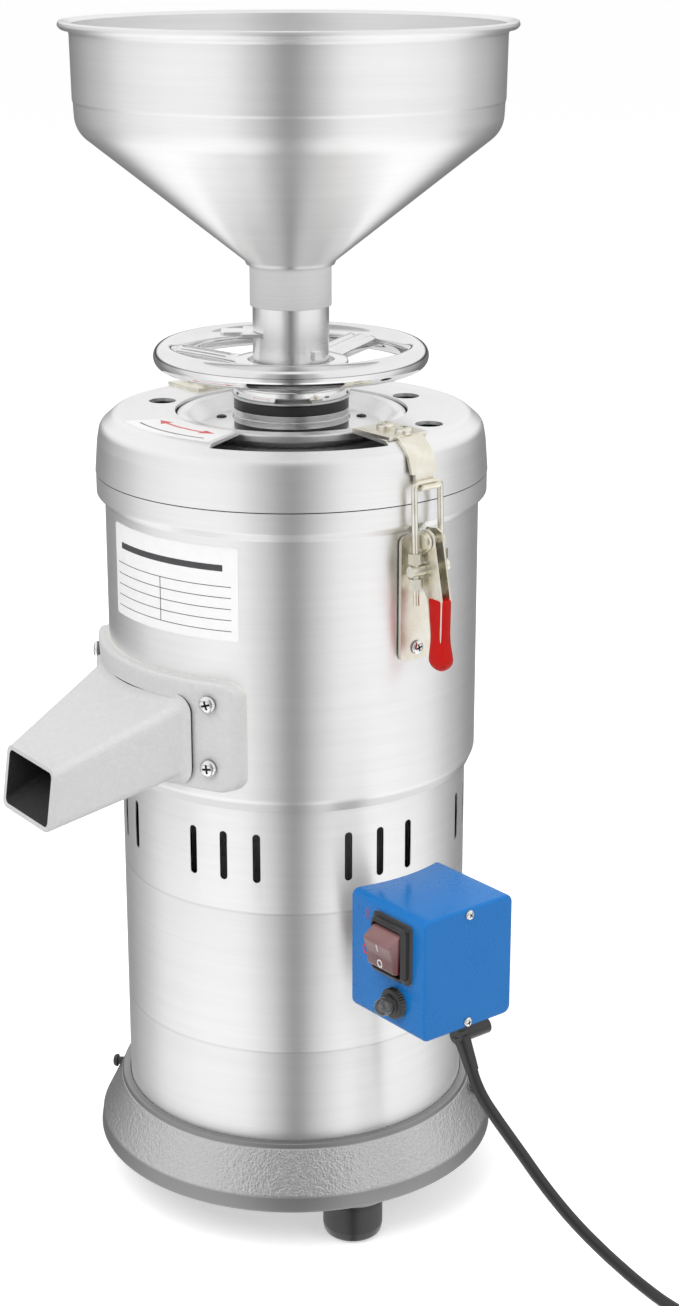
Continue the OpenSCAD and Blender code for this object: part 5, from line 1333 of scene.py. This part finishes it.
def make_world():
    """White to the camera and through glass; an even grey for soft light; and for reflections a
    room of pale panels with dark gaps, set by the direction round the room."""
    world = bpy.data.worlds.new("studio")
    bpy.context.scene.world = world
    world.use_nodes = True
    recipe = Recipe(world.node_tree)
    x, y, z = recipe.axes(recipe.node("ShaderNodeTexCoord", out="Generated"))
    turn = x.math("ARCTAN2", x, -1 * y) / (2 * math.pi) + 0.5

    def round_room(stops):
        """Brightness by the direction round the room, in degrees from the front."""
        return recipe.ramp(turn, [((angle + 180) / 360, value) for angle, value in stops])

    level = round_room([
        (-180, 0.16), (-145, 0.20), (-118, 0.42), (-92, 0.84), (-62, 1.0), (-34, 0.97), (-18, 0.55),
        (0, 0.14), (16, 0.52), (30, 0.95), (55, 1.0), (88, 0.88), (116, 0.42), (145, 0.18), (180, 0.16)])
    upper = round_room([
        (-180, 0.94), (-70, 0.98), (-34, 0.92), (-18, 0.55), (0, 0.18), (16, 0.52), (32, 0.94), (70, 1.0),
        (180, 0.94)])
    under = recipe.ramp(x.size(), [
        (0.0, 0.14), (0.07, 0.34), (0.15, 0.84), (0.24, 1.0), (0.6, 0.96), (1.0, 0.7)])
    skirting = 1 - 0.6 * (z.step(-0.06, -0.02) - z.step(0.05, 0.10))
    below = recipe.mix(z.step(-0.66, -0.46), under * 1.25, level * 1.06)
    above = recipe.mix(z.step(0.62, 0.85), upper, grey(0.94))
    panels = recipe.mix(z.step(0.0, 0.16), below, above) * skirting
    path = recipe.node("ShaderNodeLightPath", out="Is Glossy Ray")
    seen = path.output("Is Camera Ray") + path.output("Is Transmission Ray")
    soft = recipe.mix(path, grey(0.58), panels)
    shown = recipe.mix(seen.step(0.2, 0.8), soft, grey(1.0))
    back = recipe.node("ShaderNodeBackground", sockets={"Color": shown, "Strength": 1.04})
    recipe.node("ShaderNodeOutputWorld", sockets={"Surface": back})


def make_floor():
    """A pale floor that keeps the machine's shadow and reads white to the camera."""
    material, recipe = recipe_for("studio_floor")
    speck = recipe.noise(recipe.place(), 40.0, 2.0)
    matt = recipe.node("ShaderNodeBsdfDiffuse", sockets={"Color": recipe.mix(speck, grey(0.80), grey(0.82))})
    path = recipe.node("ShaderNodeLightPath", out="Is Camera Ray")
    seen = (path + path.output("Is Glossy Ray") + path.output("Is Transmission Ray")).step(0.2, 0.8)
    glow = recipe.node("ShaderNodeEmission", sockets={"Color": grey(1.0), "Strength": seen * 0.5})
    both = recipe.node("ShaderNodeAddShader", sockets={0: matt, 1: glow})
    recipe.node("ShaderNodeOutputMaterial", sockets={"Surface": both})
    reach = 60000.0
    corners = [(-reach, -reach, 0), (reach, -reach, 0), (reach, reach, 0), (-reach, reach, 0)]
    floor = new_piece("floor", corners, [(0, 1, 2, 3)], material)
    floor.visible_glossy = False


def make_lamp(name, place, aim, size, power):
    """A large soft square lamp that looks at a point, and isn't seen in the metal."""
    light = bpy.data.lights.new(name, "AREA")
    light.size = size
    light.energy = power
    lamp = bpy.data.objects.new(name, light)
    lamp.location = place
    way = np.array(aim, float) - np.array(place, float)
    lean = math.atan2(math.hypot(way[0], way[1]), -way[2])
    lamp.rotation_euler = (lean, 0, math.atan2(way[0], -way[1]) + math.pi)
    lamp.visible_glossy = False
    bpy.context.scene.collection.objects.link(lamp)


# ---------- putting it together ----------

make_cord()
make_base()
make_feet()
make_tube()
make_upper_shell()
make_lid()
make_cover_disc()
make_wheel()
make_hopper()
make_spout()
make_all_screws()
for grip_node, grip_az in (("front_grip", LATCH_AZ), ("rear_grip", LATCH_AZ + 180)):
    make_grip(grip_node, grip_az)
make_box()
make_bezel()
make_rocker()
make_reset()
make_rating_plate()
make_turning_sign()
make_box_marks()

for side_name in ("front", "rear"):
    for latch_part, broken_edge in (("strap", 0.3), ("latch_base", 0.3), ("lever", 0.3), ("ubolt", 0.2)):
        dressed(f"{side_name}_{latch_part}", ZINC, broken_edge)
for whole_node, its_finish, broken_edge in (
        ("feed_tube", TUBE_STEEL, 0.3), ("feed_gate", TUBE_STEEL, 0.3), ("lower_buffer", RUBBER, 0.7),
        ("upper_buffer", RUBBER, 0.7), ("spacer_rings", CHROME, 0.6), ("spout_gasket", GASKET, 0.0),
        ("cord_gland", BLACK_PLASTIC, 0.4), ("head_casting", INNER_CAST, 0.5),
        ("disc_holder", MACHINED, 0.4), ("base_screws", DARK_SCREW, 0.2), ("foot_bolts", ZINC, 0.3)):
    dressed(whole_node, its_finish, broken_edge)

paint(["bottom_cover"], DARK_SHEET)
paint(["lower_end_shield", "upper_end_shield", "grinding_bowl"], INNER_CAST)
paint(["bearings", "motor_shaft", "slinger", "feed_impeller"], MACHINED)
paint(["tie_bolts"], ZINC)
paint(["stator_core", "rotor_core"], laminations())
paint(["stator_windings"], wound_copper())
paint(["cooling_fan"], FAN_PLASTIC)
paint(["shaft_seal"], RUBBER)
paint(["lower_grinding_disc", "upper_grinding_disc"], GROUND_IRON)

make_world()
make_floor()
make_lamp("key_lamp", (-0.9, -1.2, 2.2), (0, 0, 0.35), 1.6, 33)
make_lamp("fill_lamp", (1.8, -1.2, 1.3), (0, 0, 0.35), 1.6, 12)
make_lamp("rear_lamp", (0.4, 1.9, 1.8), (0, 0, 0.4), 1.4, 14)

bpy.context.scene.view_settings.view_transform = "Standard"
